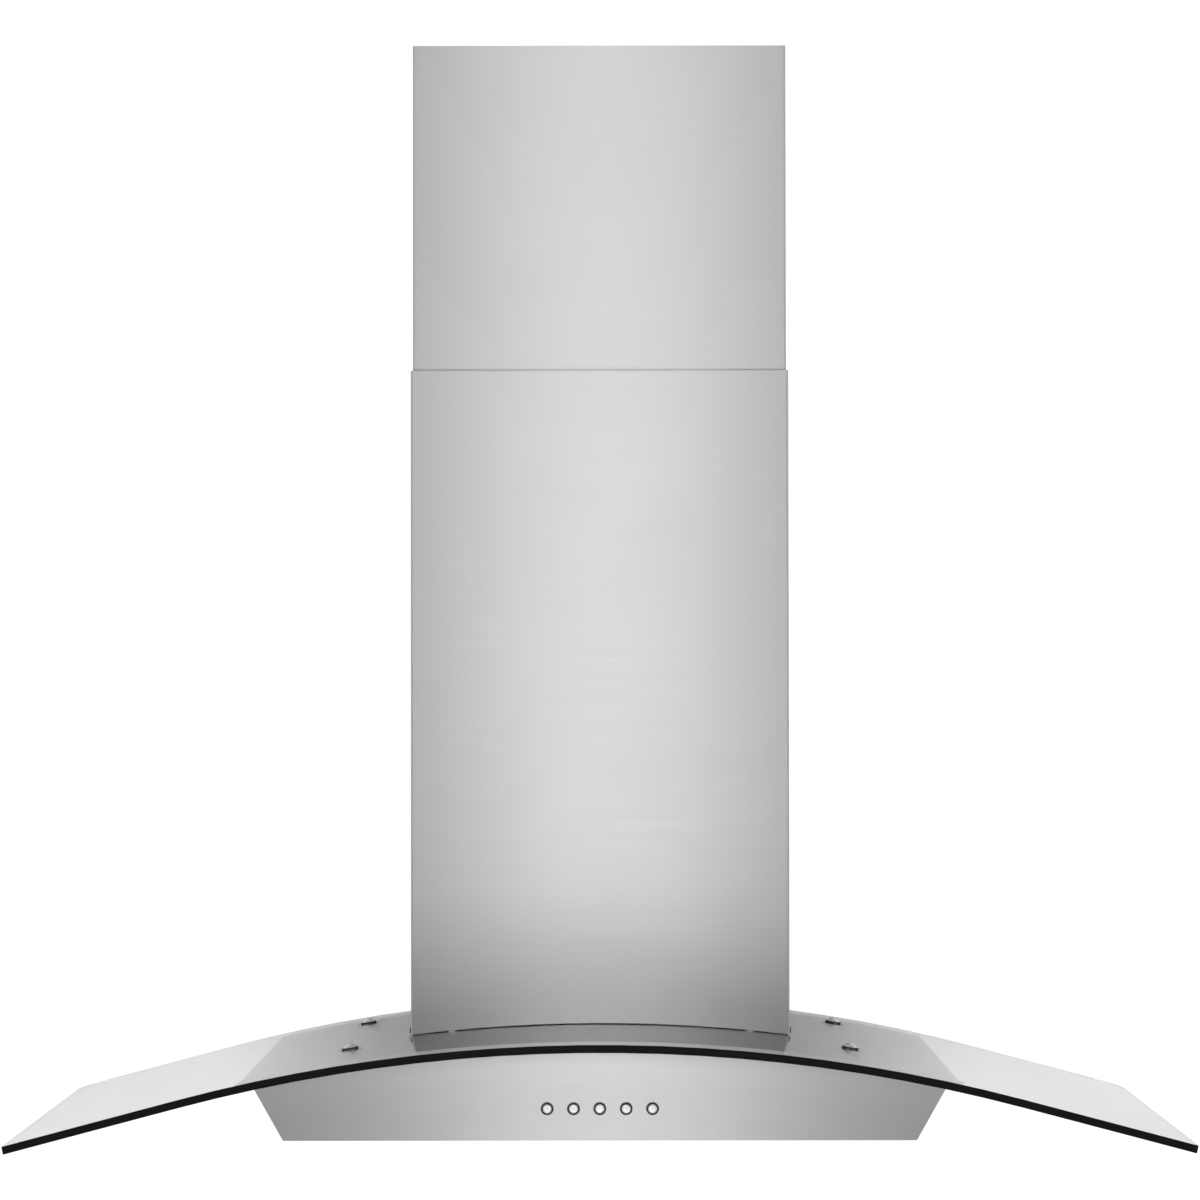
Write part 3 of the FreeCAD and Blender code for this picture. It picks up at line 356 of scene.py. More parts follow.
def turned(shape, profile, centre, axis=(0, 0, 1), steps=48, closed=False):
    """Spins (radius, height) pairs round an axis. An open profile starts and ends on the axis."""
    turn = Vector((0, 0, 1)).rotation_difference(Vector(axis)).to_matrix()
    points = [shape.verts.new(turn @ Vector((radius, 0, height)) + Vector(centre))
              for radius, height in profile]
    edges = [shape.edges.new(pair) for pair in zip(points, points[1:] + points[:closed])]
    bmesh.ops.spin(shape, geom=points + edges, cent=centre, axis=turn @ Vector((0, 0, 1)), angle=math.tau,
                   steps=steps, use_merge=True)
    bmesh.ops.remove_doubles(shape, verts=shape.verts, dist=1e-6)


def block(shape, low, high):
    """Adds a box to a bmesh and returns its new vertices."""
    made = bmesh.ops.create_cube(shape, size=1)["verts"]
    size = Vector(high) - Vector(low)
    middle = (Vector(high) + Vector(low)) / 2
    bmesh.ops.transform(shape, matrix=Matrix.Translation(middle) @ Matrix.Diagonal((*size, 1)), verts=made)
    return made


def ease(shape, width, segments=2):
    """Rounds every sharp edge of a closed shape a little."""
    shape.normal_update()
    sharp = [edge for edge in shape.edges
             if len(edge.link_faces) == 2 and edge.calc_face_angle() > SHARP_ANGLE]
    bmesh.ops.bevel(shape, geom=sharp, offset=width, offset_type="OFFSET", affect="EDGES",
                    segments=segments, profile=0.5, material=-1, clamp_overlap=True)


def merged_copy(name):
    """A CAD node's mesh with its loose triangles joined and its flat faces whole."""
    shape = bmesh.new()
    shape.from_mesh(NODES[name].data)
    bmesh.ops.remove_doubles(shape, verts=shape.verts, dist=1e-6)
    bmesh.ops.dissolve_limit(shape, angle_limit=FLAT_ANGLE, verts=shape.verts, edges=shape.edges)
    return shape


def flatten_large_faces(made):
    """Keeps the rounding of an edge out of the flat faces beside it."""
    weighted = made.modifiers.new("flat_faces", "WEIGHTED_NORMAL")
    weighted.mode = "FACE_AREA"
    weighted.weight = 100
    weighted.keep_sharp = True


def eased(name, width, material, body="root"):
    """A finished piece with the form of a CAD node and its sharp edges rounded a little."""
    shape = merged_copy(name)
    ease(shape, width)
    dress(material, name)
    flatten_large_faces(piece(name + "_finish", shape, (material,), body, (name,)))


# ------------------------------------------------------------------ pieces
class HOOD_OT_brushed_sheets(bpy.types.Operator):
    """Brushes the covers, the panels and the curved plate"""

    bl_idname = "hood.brushed_sheets"
    bl_label = "Brushed Sheets"

    def execute(self, context):
        finish, _, _ = settings()
        gloss = (finish.steel_roughness, finish.steel_spread)
        upright = {"grain": (12, 12, 1500), "across": (0, 0, 1)}
        lying = {"grain": (1500, 12, 12), "across": (1, 0, 0)}
        cover = brushed_steel("brushed_cover_steel", finish.steel, *gloss, **upright)
        body = brushed_steel("brushed_body_steel", finish.body_steel, *gloss, **upright)
        flat = brushed_steel("brushed_plate_steel", finish.steel, *gloss, **lying)
        for name, moves_with in (("lower_duct_cover", "root"), ("upper_duct_cover", "upper_cover")):
            eased(name, COVER_EDGE, cover, moves_with)
        for name in ("front_panel", "left_side_panel", "right_side_panel"):
            eased(name, SHEET_EDGE, body)
        for name in ("top_plate", "bottom_panel"):
            eased(name, SHEET_EDGE, flat)
        return {"FINISHED"}


class HOOD_OT_canopy_glass(bpy.types.Operator):
    """Grinds the edges of the glass, paints its front edge near-black as a painted dark reflection, and
    paints a pale band behind it as a painted reflection of light
    """

    bl_idname = "hood.canopy_glass"
    bl_label = "Canopy Glass"

    def execute(self, context):
        finish, detail, _ = settings()
        clear = clear_glass("canopy_clear_glass", finish.glass, 0.0)
        # Front edge: painted dark reflection, near-black colour in place of the light clear glass would show
        edge = speckled("canopy_painted_dark_edge", finish.glass_painted_dark_edge, 0.6, 0.0, 900, 0.00002, specular=0.1)
        # Pale band: painted reflection of light under the front of the glass
        painted_band = speckled("canopy_painted_light_band", finish.glass_painted_light_band, 0.5, 0.0, 900, 0.00001)
        shape = merged_copy("glass_canopy")
        ease(shape, detail.arris, 1)
        low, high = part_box("top_plate")
        front, left, right = (0, low[1], 0), (low[0], 0, 0), (high[0], 0, 0)
        for place, normal in ((front, (0, 1, 0)), (left, (1, 0, 0)), (right, (1, 0, 0))):
            geometry = shape.verts[:] + shape.edges[:] + shape.faces[:]
            bmesh.ops.bisect_plane(shape, geom=geometry, dist=1e-6, plane_co=place, plane_no=normal)
        shape.normal_update()
        for face in shape.faces:
            middle = face.calc_center_median()
            face.smooth = True
            # Forward-facing faces take the painted dark reflection
            face.material_index = 1 if face.normal.y < FRONT_FACING else 0
            # Underside faces in front of the plate take the painted reflection of light
            if face.normal.z < DOWN_FACING and middle.y < low[1] and low[0] < middle.x < high[0]:
                face.material_index = 2
        finishes = (clear, edge, painted_band)
        sheet = piece("glass_canopy_sheet", shape, finishes, "root", ("glass_canopy",))
        flatten_large_faces(sheet)
        return {"FINISHED"}


class HOOD_OT_fixings(bpy.types.Operator):
    """Plates the screws, nuts, washers and pads"""

    bl_idname = "hood.fixings"
    bl_label = "Screws, Washers and Pads"

    def execute(self, context):
        bright = speckled("plated_steel", (0.80, 0.80, 0.79), 0.20, 1.0, 700, 0.00001)
        black = speckled("blackened_steel", (0.03, 0.03, 0.03), 0.45, 0.0, 700, 0.00001)
        rubber = speckled("black_rubber", (0.022, 0.022, 0.022), 0.75, 0.0, 900, 0.00003)
        dress(bright, "glass_screws", "glass_screw_nuts", "housing_screws", "motor_bracket_screws")
        dress(bright, "collar_screws", "upper_cover_screws")
        dress(black, "lower_cover_screws")
        dress(rubber, "glass_screw_washers", "glass_pads", "collar_gasket")
        return {"FINISHED"}


def button_cap(name, plating):
    """A turned cap: a low dome, a groove round it and a rounded rim, on its stem."""
    low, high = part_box(name)
    radius = (high[0] - low[0]) / 2
    centre = Vector(((low[0] + high[0]) / 2, low[1], (low[2] + high[2]) / 2))
    dome = [(radius * share, 0.00002 + 0.00016 * share * share) for share in (0, 0.25, 0.45, 0.6, 0.7)]
    groove = [(radius * 0.73, 0.00022), (radius * 0.78, 0.00022), (radius * 0.81, 0.00010)]
    rim = [(radius * 0.90, 0.00014), (radius * 0.96, 0.00026), (radius * 0.99, 0.00042), (radius, 0.0007)]
    back = [(radius, CAP_LENGTH - 0.0002), (radius - 0.0002, CAP_LENGTH), (STEM_RADIUS, CAP_LENGTH)]
    stem = [(STEM_RADIUS, high[1] - low[1] - 0.0003), (STEM_RADIUS - 0.0003, high[1] - low[1]),
            (0, high[1] - low[1])]
    shape = bmesh.new()
    turned(shape, dome + groove + rim + back + stem, centre, (0, 1, 0), 64)
    piece(name + "_cap", shape, (plating,), name, (name,))
    return centre


def lamp_sign(shape):
    """A small ring with four rays, drawn flat in X and Y."""
    turned(shape, [(0.0005, 0), (0.0007, 0), (0.0007, 0.00006), (0.0005, 0.00006)], (0, 0, 0), closed=True,
           steps=24)
    for quarter in range(4):
        ray = block(shape, (0.0009, -0.0001, 0), (0.0013, 0.0001, 0.00006))
        turn = Matrix.Rotation(quarter * math.pi / 2, 3, "Z")
        bmesh.ops.rotate(shape, verts=ray, cent=(0, 0, 0), matrix=turn)


def digit_sign(shape, digit):
    """A digit, drawn flat in X and Y about its own middle."""
    curve = bpy.data.curves.new("digit", "FONT")
    curve.body = digit
    curve.size = DIGIT_HEIGHT
    curve.extrude = 0.00003
    curve.resolution_u = 3
    text = bpy.data.objects.new("digit", curve)
    shape.from_mesh(bpy.data.meshes.new_from_object(text))
    bpy.data.objects.remove(text)
    bmesh.ops.remove_doubles(shape, verts=shape.verts, dist=1e-7)
    low = Vector([min(vert.co[axis] for vert in shape.verts) for axis in range(3)])
    high = Vector([max(vert.co[axis] for vert in shape.verts) for axis in range(3)])
    bmesh.ops.translate(shape, verts=shape.verts, vec=Vector((0, 0, high.z)) - (low + high) / 2)


def button_sign(name, digit, centre, ink):
    """The sign on a cap's dome: a lamp, or the fan's speed."""
    shape = bmesh.new()
    if digit:
        digit_sign(shape, digit)
    else:
        lamp_sign(shape)
    stand = Matrix.Translation(centre + Vector((0, 0.00006, 0))) @ Matrix.Rotation(math.pi / 2, 4, "X")
    bmesh.ops.transform(shape, matrix=stand, verts=shape.verts)
    piece(name + "_sign", shape, (ink,), name, smooth=False)


class HOOD_OT_buttons(bpy.types.Operator):
    """Turns the five button caps with their signs, and finishes their bezels and switch block"""

    bl_idname = "hood.buttons"
    bl_label = "Buttons"

    def execute(self, context):
        finish, _, _ = settings()
        plating = speckled("button_plating", finish.button, 0.34, 1.0, 1500, 0.000008)
        ink = speckled("button_ink", (0.10, 0.10, 0.10), 0.5, 0.0, 1500, 0.00001)
        dark = speckled("black_moulding", (0.025, 0.025, 0.026), 0.5, 0.0, 900, 0.00002)
        for name, digit in BUTTONS.items():
            dress(plating, name)
            button_sign(name, digit, button_cap(name, plating), ink)
        dress(dark, "button_bezels")
        eased("switch_block", MOULDED_EDGE, dark)
        return {"FINISHED"}


class HOOD_OT_control_board(bpy.types.Operator):
    """Fills the control board with its relays, capacitors and connector"""

    bl_idname = "hood.control_board"
    bl_label = "Control Board"

    def execute(self, context):
        dress(circuit_board("lacquered_board"), "control_board")
        low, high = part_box("control_board")
        back, middle = high[1], (low[2] + high[2]) / 2
        relays = bmesh.new()
        width, depth, height = RELAY_SIZE
        for x in RELAY_PLACES:
            block(relays, (x - width / 2, back, middle - height / 2),
                  (x + width / 2, back + depth, middle + height / 2))
        ease(relays, 0.0006)
        dark = speckled("relay_moulding", (0.03, 0.03, 0.032), 0.4, 0.0, 900, 0.00001)
        piece("board_relays", relays, (dark,), "root")
        cans = bmesh.new()
        profile = [(0, 0), (0.0038, 0), (0.004, 0.0006), (0.0037, 0.0012), (0.004, 0.0018), (0.004, 0.0106),
                   (0.0037, 0.011), (0.0032, 0.0108), (0, 0.0108)]
        for x in CAN_PLACES:
            turned(cans, profile, (x, back, middle), (0, 1, 0), 32)
        sleeve = speckled("capacitor_sleeve", (0.05, 0.06, 0.10), 0.35, 0.0, 900, 0.00001)
        piece("board_capacitors", cans, (sleeve,), "root")
        header = bmesh.new()
        block(header, (HEADER_LEFT, back, middle - HEADER_HEIGHT / 2),
              (HEADER_RIGHT, back + HEADER_DEPTH, middle + HEADER_HEIGHT / 2))
        for step in range(PINS):
            z = middle + (step - PINS // 2) * PIN_PITCH
            block(header, (HEADER_RIGHT - 0.0005, back + 0.003, z - 0.0008),
                  (HEADER_RIGHT + 0.0015, back + 0.0055, z + 0.0008))
        ease(header, 0.0003)
        pale = speckled("connector_moulding", (0.75, 0.74, 0.68), 0.4, 0.0, 900, 0.00001)
        piece("board_connector", header, (pale,), "root")
        return {"FINISHED"}


def expanded_layer(shape, low, high, cell, strand, height, turned_over):
    """One layer of expanded diamond mesh between two corners."""
    length, width = (cell, cell * DIAMOND_SHARE)
    if turned_over:
        length, width = width, length
    span = max(high[0] - low[0], high[1] - low[1]) * 1.5
    count = int(span / min(length, width))
    made = bmesh.ops.create_grid(shape, x_segments=count, y_segments=count, size=count / 2)["verts"]
    middle = Vector(((low[0] + high[0]) / 2, (low[1] + high[1]) / 2, height))
    lay = (Matrix.Translation(middle) @ Matrix.Diagonal((length / math.sqrt(2), width / math.sqrt(2), 1, 1))
           @ Matrix.Rotation(math.pi / 4, 4, "Z"))
    bmesh.ops.transform(shape, matrix=lay, verts=made)
    for axis, sign, edge in ((0, -1, low[0]), (0, 1, high[0]), (1, -1, low[1]), (1, 1, high[1])):
        normal, place = Vector((0, 0, 0)), Vector((0, 0, 0))
        normal[axis], place[axis] = sign, edge
        geometry = shape.verts[:] + shape.edges[:] + shape.faces[:]
        bmesh.ops.bisect_plane(shape, geom=geometry, dist=1e-7, plane_co=place, plane_no=normal,
                               clear_outer=True)
    bmesh.ops.wireframe(shape, faces=shape.faces, thickness=strand, offset=0, use_replace=True,
                        use_boundary=True, use_even_offset=True)


def filter_mesh(side, metal, detail):
    """Two crossed layers of expanded mesh, held in the filter's frame."""
    name = side + "_filter_mesh"
    low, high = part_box(name)
    inset = detail.mesh_strand
    low = (low[0] + inset, low[1] + inset, low[2])
    high = (high[0] - inset, high[1] - inset, high[2])
    both = bmesh.new()
    for height, turned_over in ((low[2] + 0.0008, False), (high[2] - 0.0008, True)):
        layer = bmesh.new()
        expanded_layer(layer, low, high, detail.mesh_cell, detail.mesh_strand, height, turned_over)
        mesh = bpy.data.meshes.new("layer")
        layer.to_mesh(mesh)
        layer.free()
        both.from_mesh(mesh)
        bpy.data.meshes.remove(mesh)
    dress(metal, name)
    piece(name + "_expanded", both, (metal,), side + "_filter", (name,), smooth=False)


class HOOD_OT_grease_filters(bpy.types.Operator):
    """Makes the expanded mesh of the grease filters and rounds their frames, cups and clips"""

    bl_idname = "hood.grease_filters"
    bl_label = "Grease Filters"

    def execute(self, context):
        _, detail, _ = settings()
        satin = speckled("satin_aluminium", (0.66, 0.67, 0.68), 0.36, 1.0, 500, 0.00002)
        strands = speckled("expanded_aluminium", (0.72, 0.73, 0.74), 0.30, 1.0, 500, 0.00001)
        spring = speckled("spring_strip", (0.45, 0.45, 0.46), 0.3, 1.0, 500, 0.00001)
        for side in SIDES:
            filter_mesh(side, strands, detail)
            eased(side + "_filter_frame", FRAME_EDGE, satin, side + "_filter")
            eased(side + "_filter_handle", COVER_EDGE, satin, side + "_filter")
            eased(side + "_filter_clip", CLIP_EDGE, spring, side + "_filter")
        return {"FINISHED"}


def lamp_centres(height):
    """The middles of the two lenses at this height, and their radius."""
    low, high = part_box("lamp_lenses")
    radius = (high[1] - low[1]) / 2
    y = (low[1] + high[1]) / 2
    return [Vector((x, y, height)) for x in (low[0] + radius, high[0] - radius)], radius


class HOOD_OT_lamps(bpy.types.Operator):
    """Turns the ribbed lenses and rings of the two lamps and sets out their chips"""

    bl_idname = "hood.lamps"
    bl_label = "Lamps"

    def execute(self, context):
        frosted = clear_glass("frosted_lens", (0.95, 0.95, 0.94), 0.35)
        plated = speckled("lamp_ring_plating", (0.72, 0.72, 0.71), 0.25, 1.0, 700, 0.00001)
        cup = speckled("lamp_cup_paint", (0.42, 0.42, 0.42), 0.45, 0.0, 600, 0.00002)
        phosphor = speckled("chip_phosphor", (0.80, 0.62, 0.12), 0.4, 0.0, 900, 0.00001)
        bottom, top = (corner[2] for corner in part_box("lamp_lenses"))
        centres, radius = lamp_centres(bottom)
        ribs = [(LENS_RIB * (step + 0.5), 0.00035 if step % 2 else 0.00015) for step in range(RIBS)]
        rim = [(radius - 0.0004, 0), (radius, 0.0004), (radius, top - bottom - 0.0003),
               (radius - 0.0003, top - bottom), (0, top - bottom)]
        lenses = bmesh.new()
        for centre in centres:
            turned(lenses, [(0, 0.00025)] + ribs + rim, centre, steps=64)
        piece("lamp_lens_ribs", lenses, (frosted,), "root", ("lamp_lenses",))
        low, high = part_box("lamp_trim_rings")
        outer, lip = (high[1] - low[1]) / 2, high[2] - low[2]
        section = [(RING_BORE, -0.0001), (RING_BORE, -0.0005), (RING_BORE + 0.0004, -lip),
                   (outer - 0.0012, -lip), (outer - 0.0004, -lip * 0.75), (outer, -0.0001),
                   (outer - 0.0003, 0), (RING_BORE + 0.0003, 0)]
        rings = bmesh.new()
        for centre in centres:
            turned(rings, section, Vector((centre.x, centre.y, high[2])), steps=72, closed=True)
        piece("lamp_ring_pressing", rings, (plated,), "root", ("lamp_trim_rings",))
        chips = bmesh.new()
        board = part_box("lamp_boards")[0][2]
        for centre in centres:
            for step in range(CHIPS_ROUND + 1):
                reach = CHIP_CIRCLE if step else 0.0
                angle = step * math.tau / CHIPS_ROUND
                x, y = centre.x + reach * math.cos(angle), centre.y + reach * math.sin(angle)
                block(chips, (x - CHIP_WIDTH / 2, y - CHIP_WIDTH / 2, board - CHIP_HEIGHT),
                      (x + CHIP_WIDTH / 2, y + CHIP_WIDTH / 2, board))
        ease(chips, 0.0003)
        piece("lamp_chips", chips, (phosphor,), "root")
        dress(frosted, "lamp_lenses")
        dress(plated, "lamp_trim_rings")
        dress(cup, "lamp_housings")
        dress(speckled("lamp_board_lacquer", (0.78, 0.78, 0.76), 0.35, 0.0, 900, 0.00001), "lamp_boards")
        return {"FINISHED"}


class HOOD_OT_blower(bpy.types.Operator):
    """Finishes the blower, the outlet collar and its flaps"""

    bl_idname = "hood.blower"
    bl_label = "Blower and Outlet"

    def execute(self, context):
        zinc = galvanised("galvanised_sheet", ZINC)
        grey = speckled("grey_moulding", (0.17, 0.175, 0.18), 0.5, 0.0, 700, 0.00002)
        paint = speckled("motor_paint", (0.10, 0.10, 0.105), 0.4, 0.0, 600, 0.00002)
        bright = speckled("ground_steel", (0.7, 0.7, 0.69), 0.2, 1.0, 900, 0.00001)
        dress(zinc, "blower_housing", "outlet_collar", "front_damper_flap", "rear_damper_flap")
        for name in ("back_panel", "motor_bracket", "cover_bracket", "upper_wall_bracket"):
            eased(name, SHEET_EDGE, zinc)
        dress(grey, "scroll_left_half", "scroll_right_half", "impeller")
        dress(paint, "blower_motor")
        dress(bright, "motor_shaft", "flap_rod")
        return {"FINISHED"}


class HOOD_OT_electrical(bpy.types.Operator):
    """Finishes the terminal box, the cable inlet and the capacitor"""

    bl_idname = "hood.electrical"
    bl_label = "Electrical Parts"

    def execute(self, context):
        dark = speckled("box_moulding", (0.03, 0.03, 0.031), 0.5, 0.0, 900, 0.00002)
        pale = speckled("pale_moulding", (0.72, 0.72, 0.70), 0.35, 0.0, 700, 0.00001)
        zinc = galvanised("clamp_sheet", ZINC)
        eased("terminal_box", FRAME_EDGE, dark)
        eased("terminal_box_cover", MOULDED_EDGE, dark)
        eased("terminal_block", MOULDED_EDGE, pale)
        dress(dark, "cable_inlet_gland")
        dress(zinc, "capacitor_clamp")
        dress(pale, "motor_capacitor")
        low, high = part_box("motor_capacitor")
        radius = (high[1] - low[1]) / 2
        length = high[0] - low[0] - TAB_LENGTH
        end = [(radius - 0.0012, length), (radius - 0.002, length - 0.0015), (0, length - 0.0015)]
        profile = [(0, 0), (radius - 0.004, 0), (radius - 0.001, 0.001), (radius, 0.004),
                   (radius, length - 0.006), (radius - 0.0008, length - 0.005), (radius, length - 0.004),
                   (radius, length - 0.001)] + end
        can = bmesh.new()
        foot = Vector((low[0], (low[1] + high[1]) / 2, (low[2] + high[2]) / 2))
        turned(can, profile, foot, (1, 0, 0), 64)
        piece("capacitor_can", can, (pale,), "root", ("motor_capacitor",))
        tabs = bmesh.new()
        for y in TAB_PLACES:
            block(tabs, (high[0] - TAB_LENGTH - 0.0018, foot.y + y - 0.0004, foot.z - 0.003),
                  (high[0], foot.y + y + 0.0004, foot.z + 0.003))
        ease(tabs, 0.0002)
        tin = speckled("tinned_tabs", (0.75, 0.75, 0.73), 0.25, 1.0, 900, 0.00001)
        piece("capacitor_tabs", tabs, (tin,), "root")
        return {"FINISHED"}


# ------------------------------------------------------------------ studio
# How far to the side a direction points, and the softboxes' share of their brightness there
SOFTBOXES = ((0.22, 0.0), (0.42, 0.9), (0.80, 1.0), (0.97, 0.55))
# Where the softboxes give way to the even wall behind the hood, that wall's share of their brightness, and
# where both give way to the ceiling
BEHIND_FADE = (-0.08, 0.12)
BEHIND_SHARE = 0.8
CEILING_FADE = (0.45, 0.95)

FLOOR_REACH = 20
FLOOR_PALE = 0.8
WALL_GAP = 1.2
WALL_REACH = 8
WALL_TOP = 6
WALL_PALE = 0.55
WALL_WHITE = 0.8
# Where the painted shadow of the hood on the mirrored wall fades out, either side of X = 0
WALL_PAINTED_SHADOW = (0.22, 0.50)
LAMP_TARGET = (0, -0.2, 0.3)
STRIP_PLACE = (0, -3.3, -0.2)
STRIP_SIZE = (0.25, 2.5)
SIDE_PLACE = (2.4, -2.6, 1.5)
SIDE_SIZE = (0.9, 1.2)
CAMERA_PLACE = Vector((0.00819, -3.7579, 0.2656))
CAMERA_YAW = -0.0023
CAMERA_PITCH = 0.0209
CAMERA_ROLL = -0.0013


def aim_camera(lens):
    """Sets the camera where the photograph was taken from."""
    data = bpy.data.cameras.new("photo_camera")
    data.sensor_width = 36.0
    data.lens = lens
    data.clip_end = 100.0
    camera = bpy.data.objects.new("photo_camera", data)
    bpy.context.scene.collection.objects.link(camera)
    look = Vector((math.sin(CAMERA_YAW) * math.cos(CAMERA_PITCH),
                   math.cos(CAMERA_YAW) * math.cos(CAMERA_PITCH), math.sin(CAMERA_PITCH)))
    level = Vector((math.cos(CAMERA_YAW), -math.sin(CAMERA_YAW), 0))
    up = level.cross(look)
    right = level * math.cos(CAMERA_ROLL) + up * math.sin(CAMERA_ROLL)
    up = up * math.cos(CAMERA_ROLL) - level * math.sin(CAMERA_ROLL)
    turn = Matrix((right, up, -look)).transposed().to_4x4()
    camera.matrix_world = Matrix.Translation(CAMERA_PLACE) @ turn
    bpy.context.scene.camera = camera


def panel_lamp(name, place, size, power):
    """A flat lamp, unseen by the camera, that faces the hood."""
    data = bpy.data.lights.new(name, "AREA")
    data.shape = "RECTANGLE"
    data.size, data.size_y = size
    data.energy = power
    lamp = bpy.data.objects.new(name, data)
    bpy.context.scene.collection.objects.link(lamp)
    lamp.location = place
    lamp.rotation_euler = (Vector(place) - Vector(LAMP_TARGET)).to_track_quat("Z", "Y").to_euler()
    lamp.visible_camera = False


def studio_sheet(name, material, low, high, normal):
    """A flat stage sheet between two corners, facing along its normal."""
    shape = bmesh.new()
    block(shape, low, high)
    keep = [face for face in shape.faces if face.normal.dot(Vector(normal)) > 0.9]
    bmesh.ops.delete(shape, geom=[face for face in shape.faces if face not in keep], context="FACES")
    mesh = bpy.data.meshes.new(name)
    shape.to_mesh(mesh)
    shape.free()
    mesh.materials.append(material)
    sheet = bpy.data.objects.new(name, mesh)
    bpy.context.scene.collection.objects.link(sheet)


def seen_directly(tree):
    """1 for rays from the camera and through glass, and the node that tells the kinds of ray apart."""
    path = put(tree, "ShaderNodeLightPath")
    seen = put(tree, "ShaderNodeMath", {"operation": "MAXIMUM"},
               slot_0=path.outputs["Is Camera Ray"], slot_1=path.outputs["Is Transmission Ray"])
    return seen.outputs[0], path


def backdrop(name, pale, direct, mirrored, through=0.0, painted_shadow_edges=(0.0, 0.001)):
    """A pale backdrop, clear from behind, that keeps shadows in the share that isn't lifted to white.

    What metal mirrors is darker in the middle, between the two painted shadow edges either side of X = 0: a
    painted shadow of the hood on the wall. Glass lets a share of that mirrored light, with its painted
    shadow, through as well.
    """
    material, tree = new_material(name)
    seen, path = seen_directly(tree)
    grain = put(tree, "ShaderNodeTexNoise", vector=pattern_space(tree, (3, 3, 3)), scale=1.0, detail=2.0)
    matt = put(tree, "ShaderNodeBsdfDiffuse",
               color=two_tone(tree, grain.outputs["Fac"], (pale,) * 3, 0.99, 1.01))
    place = put(tree, "ShaderNodeTexCoord")
    across = put(tree, "ShaderNodeSeparateXYZ", vector=place.outputs["Object"])
    aside = put(tree, "ShaderNodeMath", {"operation": "ABSOLUTE"}, slot_0=across.outputs["X"])
    # Painted shadow: what metal mirrors of the wall darkens toward X = 0, standing in for the hood's shadow
    # on it
    painted_shadow = put(tree, "ShaderNodeMapRange", {"interpolation_type": "SMOOTHSTEP"}, value=aside.outputs[0],
               from_min=painted_shadow_edges[0], from_max=painted_shadow_edges[1], to_min=0.0, to_max=mirrored)
    bounced = put(tree, "ShaderNodeMath", {"operation": "MULTIPLY_ADD"}, slot_1=through - 1,
                  slot_0=path.outputs["Is Transmission Ray"], slot_2=path.outputs["Is Glossy Ray"])
    gloss = put(tree, "ShaderNodeMath", {"operation": "MULTIPLY"}, slot_0=bounced.outputs[0],
                slot_1=painted_shadow.outputs[0])
    lift = put(tree, "ShaderNodeMath", {"operation": "MULTIPLY_ADD"}, slot_0=seen, slot_1=direct,
               slot_2=gloss.outputs[0])
    glow = put(tree, "ShaderNodeEmission", strength=lift.outputs[0])
    both = put(tree, "ShaderNodeAddShader", slot_0=matt.outputs[0], slot_1=glow.outputs[0])
    facing = put(tree, "ShaderNodeNewGeometry")
    clear = put(tree, "ShaderNodeBsdfTransparent")
    sided = put(tree, "ShaderNodeMixShader", slot_0=facing.outputs["Backfacing"], slot_1=both.outputs[0],
                slot_2=clear.outputs[0])
    finish_surface(tree, sided)
    return material


def mirrored_room(tree, room, softbox, ceiling):
    """What metal mirrors of the room: softboxes either side of a dark middle, and a pale ceiling."""
    place = put(tree, "ShaderNodeTexCoord")
    way = put(tree, "ShaderNodeSeparateXYZ", vector=place.outputs["Generated"])
    aside = put(tree, "ShaderNodeMath", {"operation": "ABSOLUTE"}, slot_0=way.outputs["X"])
    boxes = put(tree, "ShaderNodeValToRGB", fac=aside.outputs[0])
    ramp = boxes.color_ramp
    ramp.interpolation = "EASE"
    for step, (where, share) in enumerate(SOFTBOXES):
        stop = ramp.elements[step] if step < 2 else ramp.elements.new(where)
        stop.position = where
        stop.color = (share, share, share, 1)
    behind = put(tree, "ShaderNodeMapRange", {"interpolation_type": "SMOOTHSTEP"}, value=way.outputs["Y"],
                 from_min=BEHIND_FADE[0], from_max=BEHIND_FADE[1])
    wide = put(tree, "ShaderNodeMix", {"data_type": "FLOAT"}, slot_0=behind.outputs[0],
               slot_2=boxes.outputs[0], slot_3=BEHIND_SHARE)
    walls = put(tree, "ShaderNodeMath", {"operation": "MULTIPLY_ADD"}, slot_0=wide.outputs[0], slot_1=softbox,
                slot_2=room)
    overhead = put(tree, "ShaderNodeMapRange", {"interpolation_type": "SMOOTHSTEP"}, value=way.outputs["Z"],
                   from_min=CEILING_FADE[0], from_max=CEILING_FADE[1])
    return put(tree, "ShaderNodeMix", {"data_type": "FLOAT"}, slot_0=overhead.outputs[0],
               slot_2=walls.outputs[0], slot_3=ceiling).outputs[0]


def surroundings(ambient, room, softbox, ceiling):
    """White where it is seen directly, and a room with softboxes for metal to mirror."""
    world = bpy.data.worlds.new("studio")
    world.use_nodes = True
    tree = world.node_tree
    tree.nodes.clear()
    seen, path = seen_directly(tree)
    mirrored = put(tree, "ShaderNodeMix", {"data_type": "FLOAT"}, slot_0=path.outputs["Is Glossy Ray"],
                   slot_2=ambient, slot_3=mirrored_room(tree, room, softbox, ceiling))
    strength = put(tree, "ShaderNodeMix", {"data_type": "FLOAT"}, slot_0=seen, slot_2=mirrored.outputs[0],
                   slot_3=1.0)
    light = put(tree, "ShaderNodeBackground", color=(1, 1, 1, 1), strength=strength.outputs[0])
    output = tree.nodes.new("ShaderNodeOutputWorld")
    tree.links.new(light.outputs[0], output.inputs["Surface"])
    bpy.context.scene.world = world


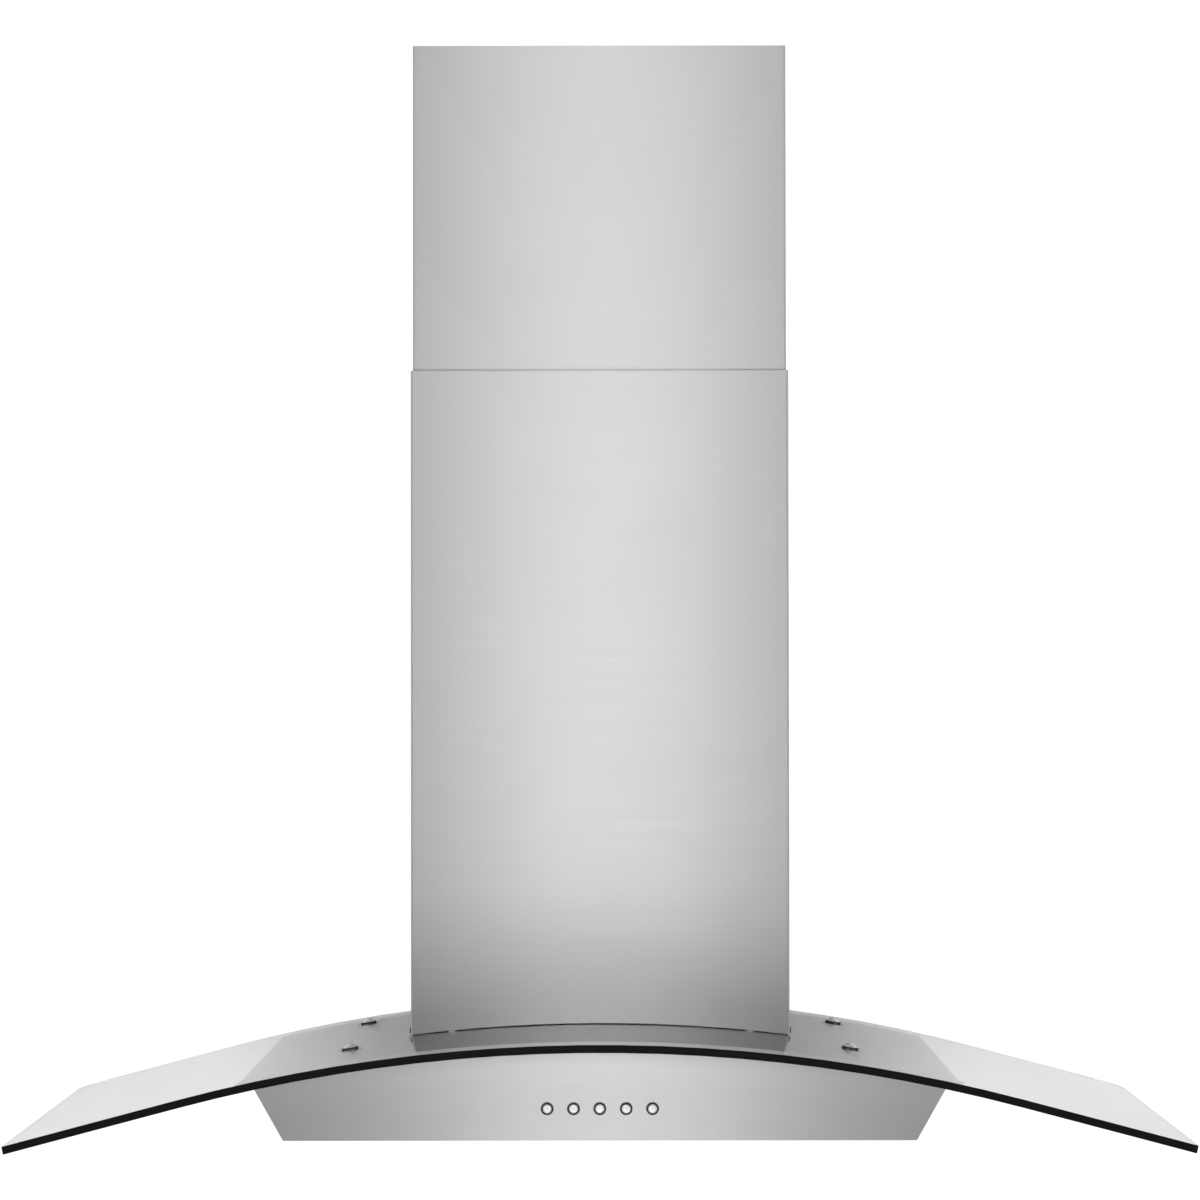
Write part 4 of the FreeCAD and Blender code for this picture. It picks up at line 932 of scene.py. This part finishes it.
class HOOD_OT_studio(bpy.types.Operator):
    """Lays the floor, hangs the lamps and sets the camera"""

    bl_idname = "hood.studio"
    bl_label = "Studio"

    def execute(self, context):
        _, _, studio = settings()
        down = studio.floor_drop
        floor = backdrop("pale_floor", FLOOR_PALE, studio.floor_white, studio.floor_mirrored)
        wall = backdrop("pale_wall", WALL_PALE, WALL_WHITE, studio.wall_mirrored, through=1.0,
                        painted_shadow_edges=WALL_PAINTED_SHADOW)
        studio_sheet("floor", floor, (-FLOOR_REACH, -FLOOR_REACH, down - 1), (FLOOR_REACH, FLOOR_REACH, down),
                     (0, 0, 1))
        studio_sheet("wall", wall, (-WALL_REACH, WALL_GAP, down), (WALL_REACH, WALL_GAP + 1, WALL_TOP),
                     (0, -1, 0))
        surroundings(studio.ambient, studio.room, studio.softbox, studio.ceiling)
        panel_lamp("strip_lamp", STRIP_PLACE, STRIP_SIZE, studio.strip_power)
        x, y, z = SIDE_PLACE
        panel_lamp("left_lamp", (-x, y, z), SIDE_SIZE, studio.side_power)
        panel_lamp("right_lamp", (x, y, z), SIDE_SIZE, studio.side_power)
        aim_camera(studio.lens)
        context.scene.view_settings.view_transform = "Standard"
        return {"FINISHED"}


# ------------------------------------------------------------------ add-on
OPERATORS = (
    HOOD_OT_brushed_sheets,
    HOOD_OT_canopy_glass,
    HOOD_OT_fixings,
    HOOD_OT_buttons,
    HOOD_OT_control_board,
    HOOD_OT_grease_filters,
    HOOD_OT_lamps,
    HOOD_OT_blower,
    HOOD_OT_electrical,
    HOOD_OT_studio,
)


class HOOD_PT_sidebar(bpy.types.Panel):
    """Lists the hood's settings and the steps that dress it"""

    bl_label = "Range Hood"
    bl_idname = "HOOD_PT_sidebar"
    bl_space_type = "VIEW_3D"
    bl_region_type = "UI"
    bl_category = "Range Hood"

    def draw(self, context):
        for group in settings():
            box = self.layout.box()
            for name in group.__annotations__:
                box.prop(group, name)
        for operator in OPERATORS:
            self.layout.operator(operator.bl_idname)


SETTINGS = {
    "hood_finish": HoodFinishSettings,
    "hood_detail": HoodDetailSettings,
    "hood_studio": HoodStudioSettings,
}


def register():
    for name, group in SETTINGS.items():
        bpy.utils.register_class(group)
        setattr(bpy.types.Scene, name, bpy.props.PointerProperty(type=group))
    for cls in (*OPERATORS, HOOD_PT_sidebar):
        bpy.utils.register_class(cls)


def unregister():
    for cls in reversed((*OPERATORS, HOOD_PT_sidebar)):
        bpy.utils.unregister_class(cls)
    for name, group in SETTINGS.items():
        delattr(bpy.types.Scene, name)
        bpy.utils.unregister_class(group)


def main():
    register()
    for operator in OPERATORS:
        group, name = operator.bl_idname.split(".")
        getattr(getattr(bpy.ops, group), name)()


if __name__ == "__main__":
    main()
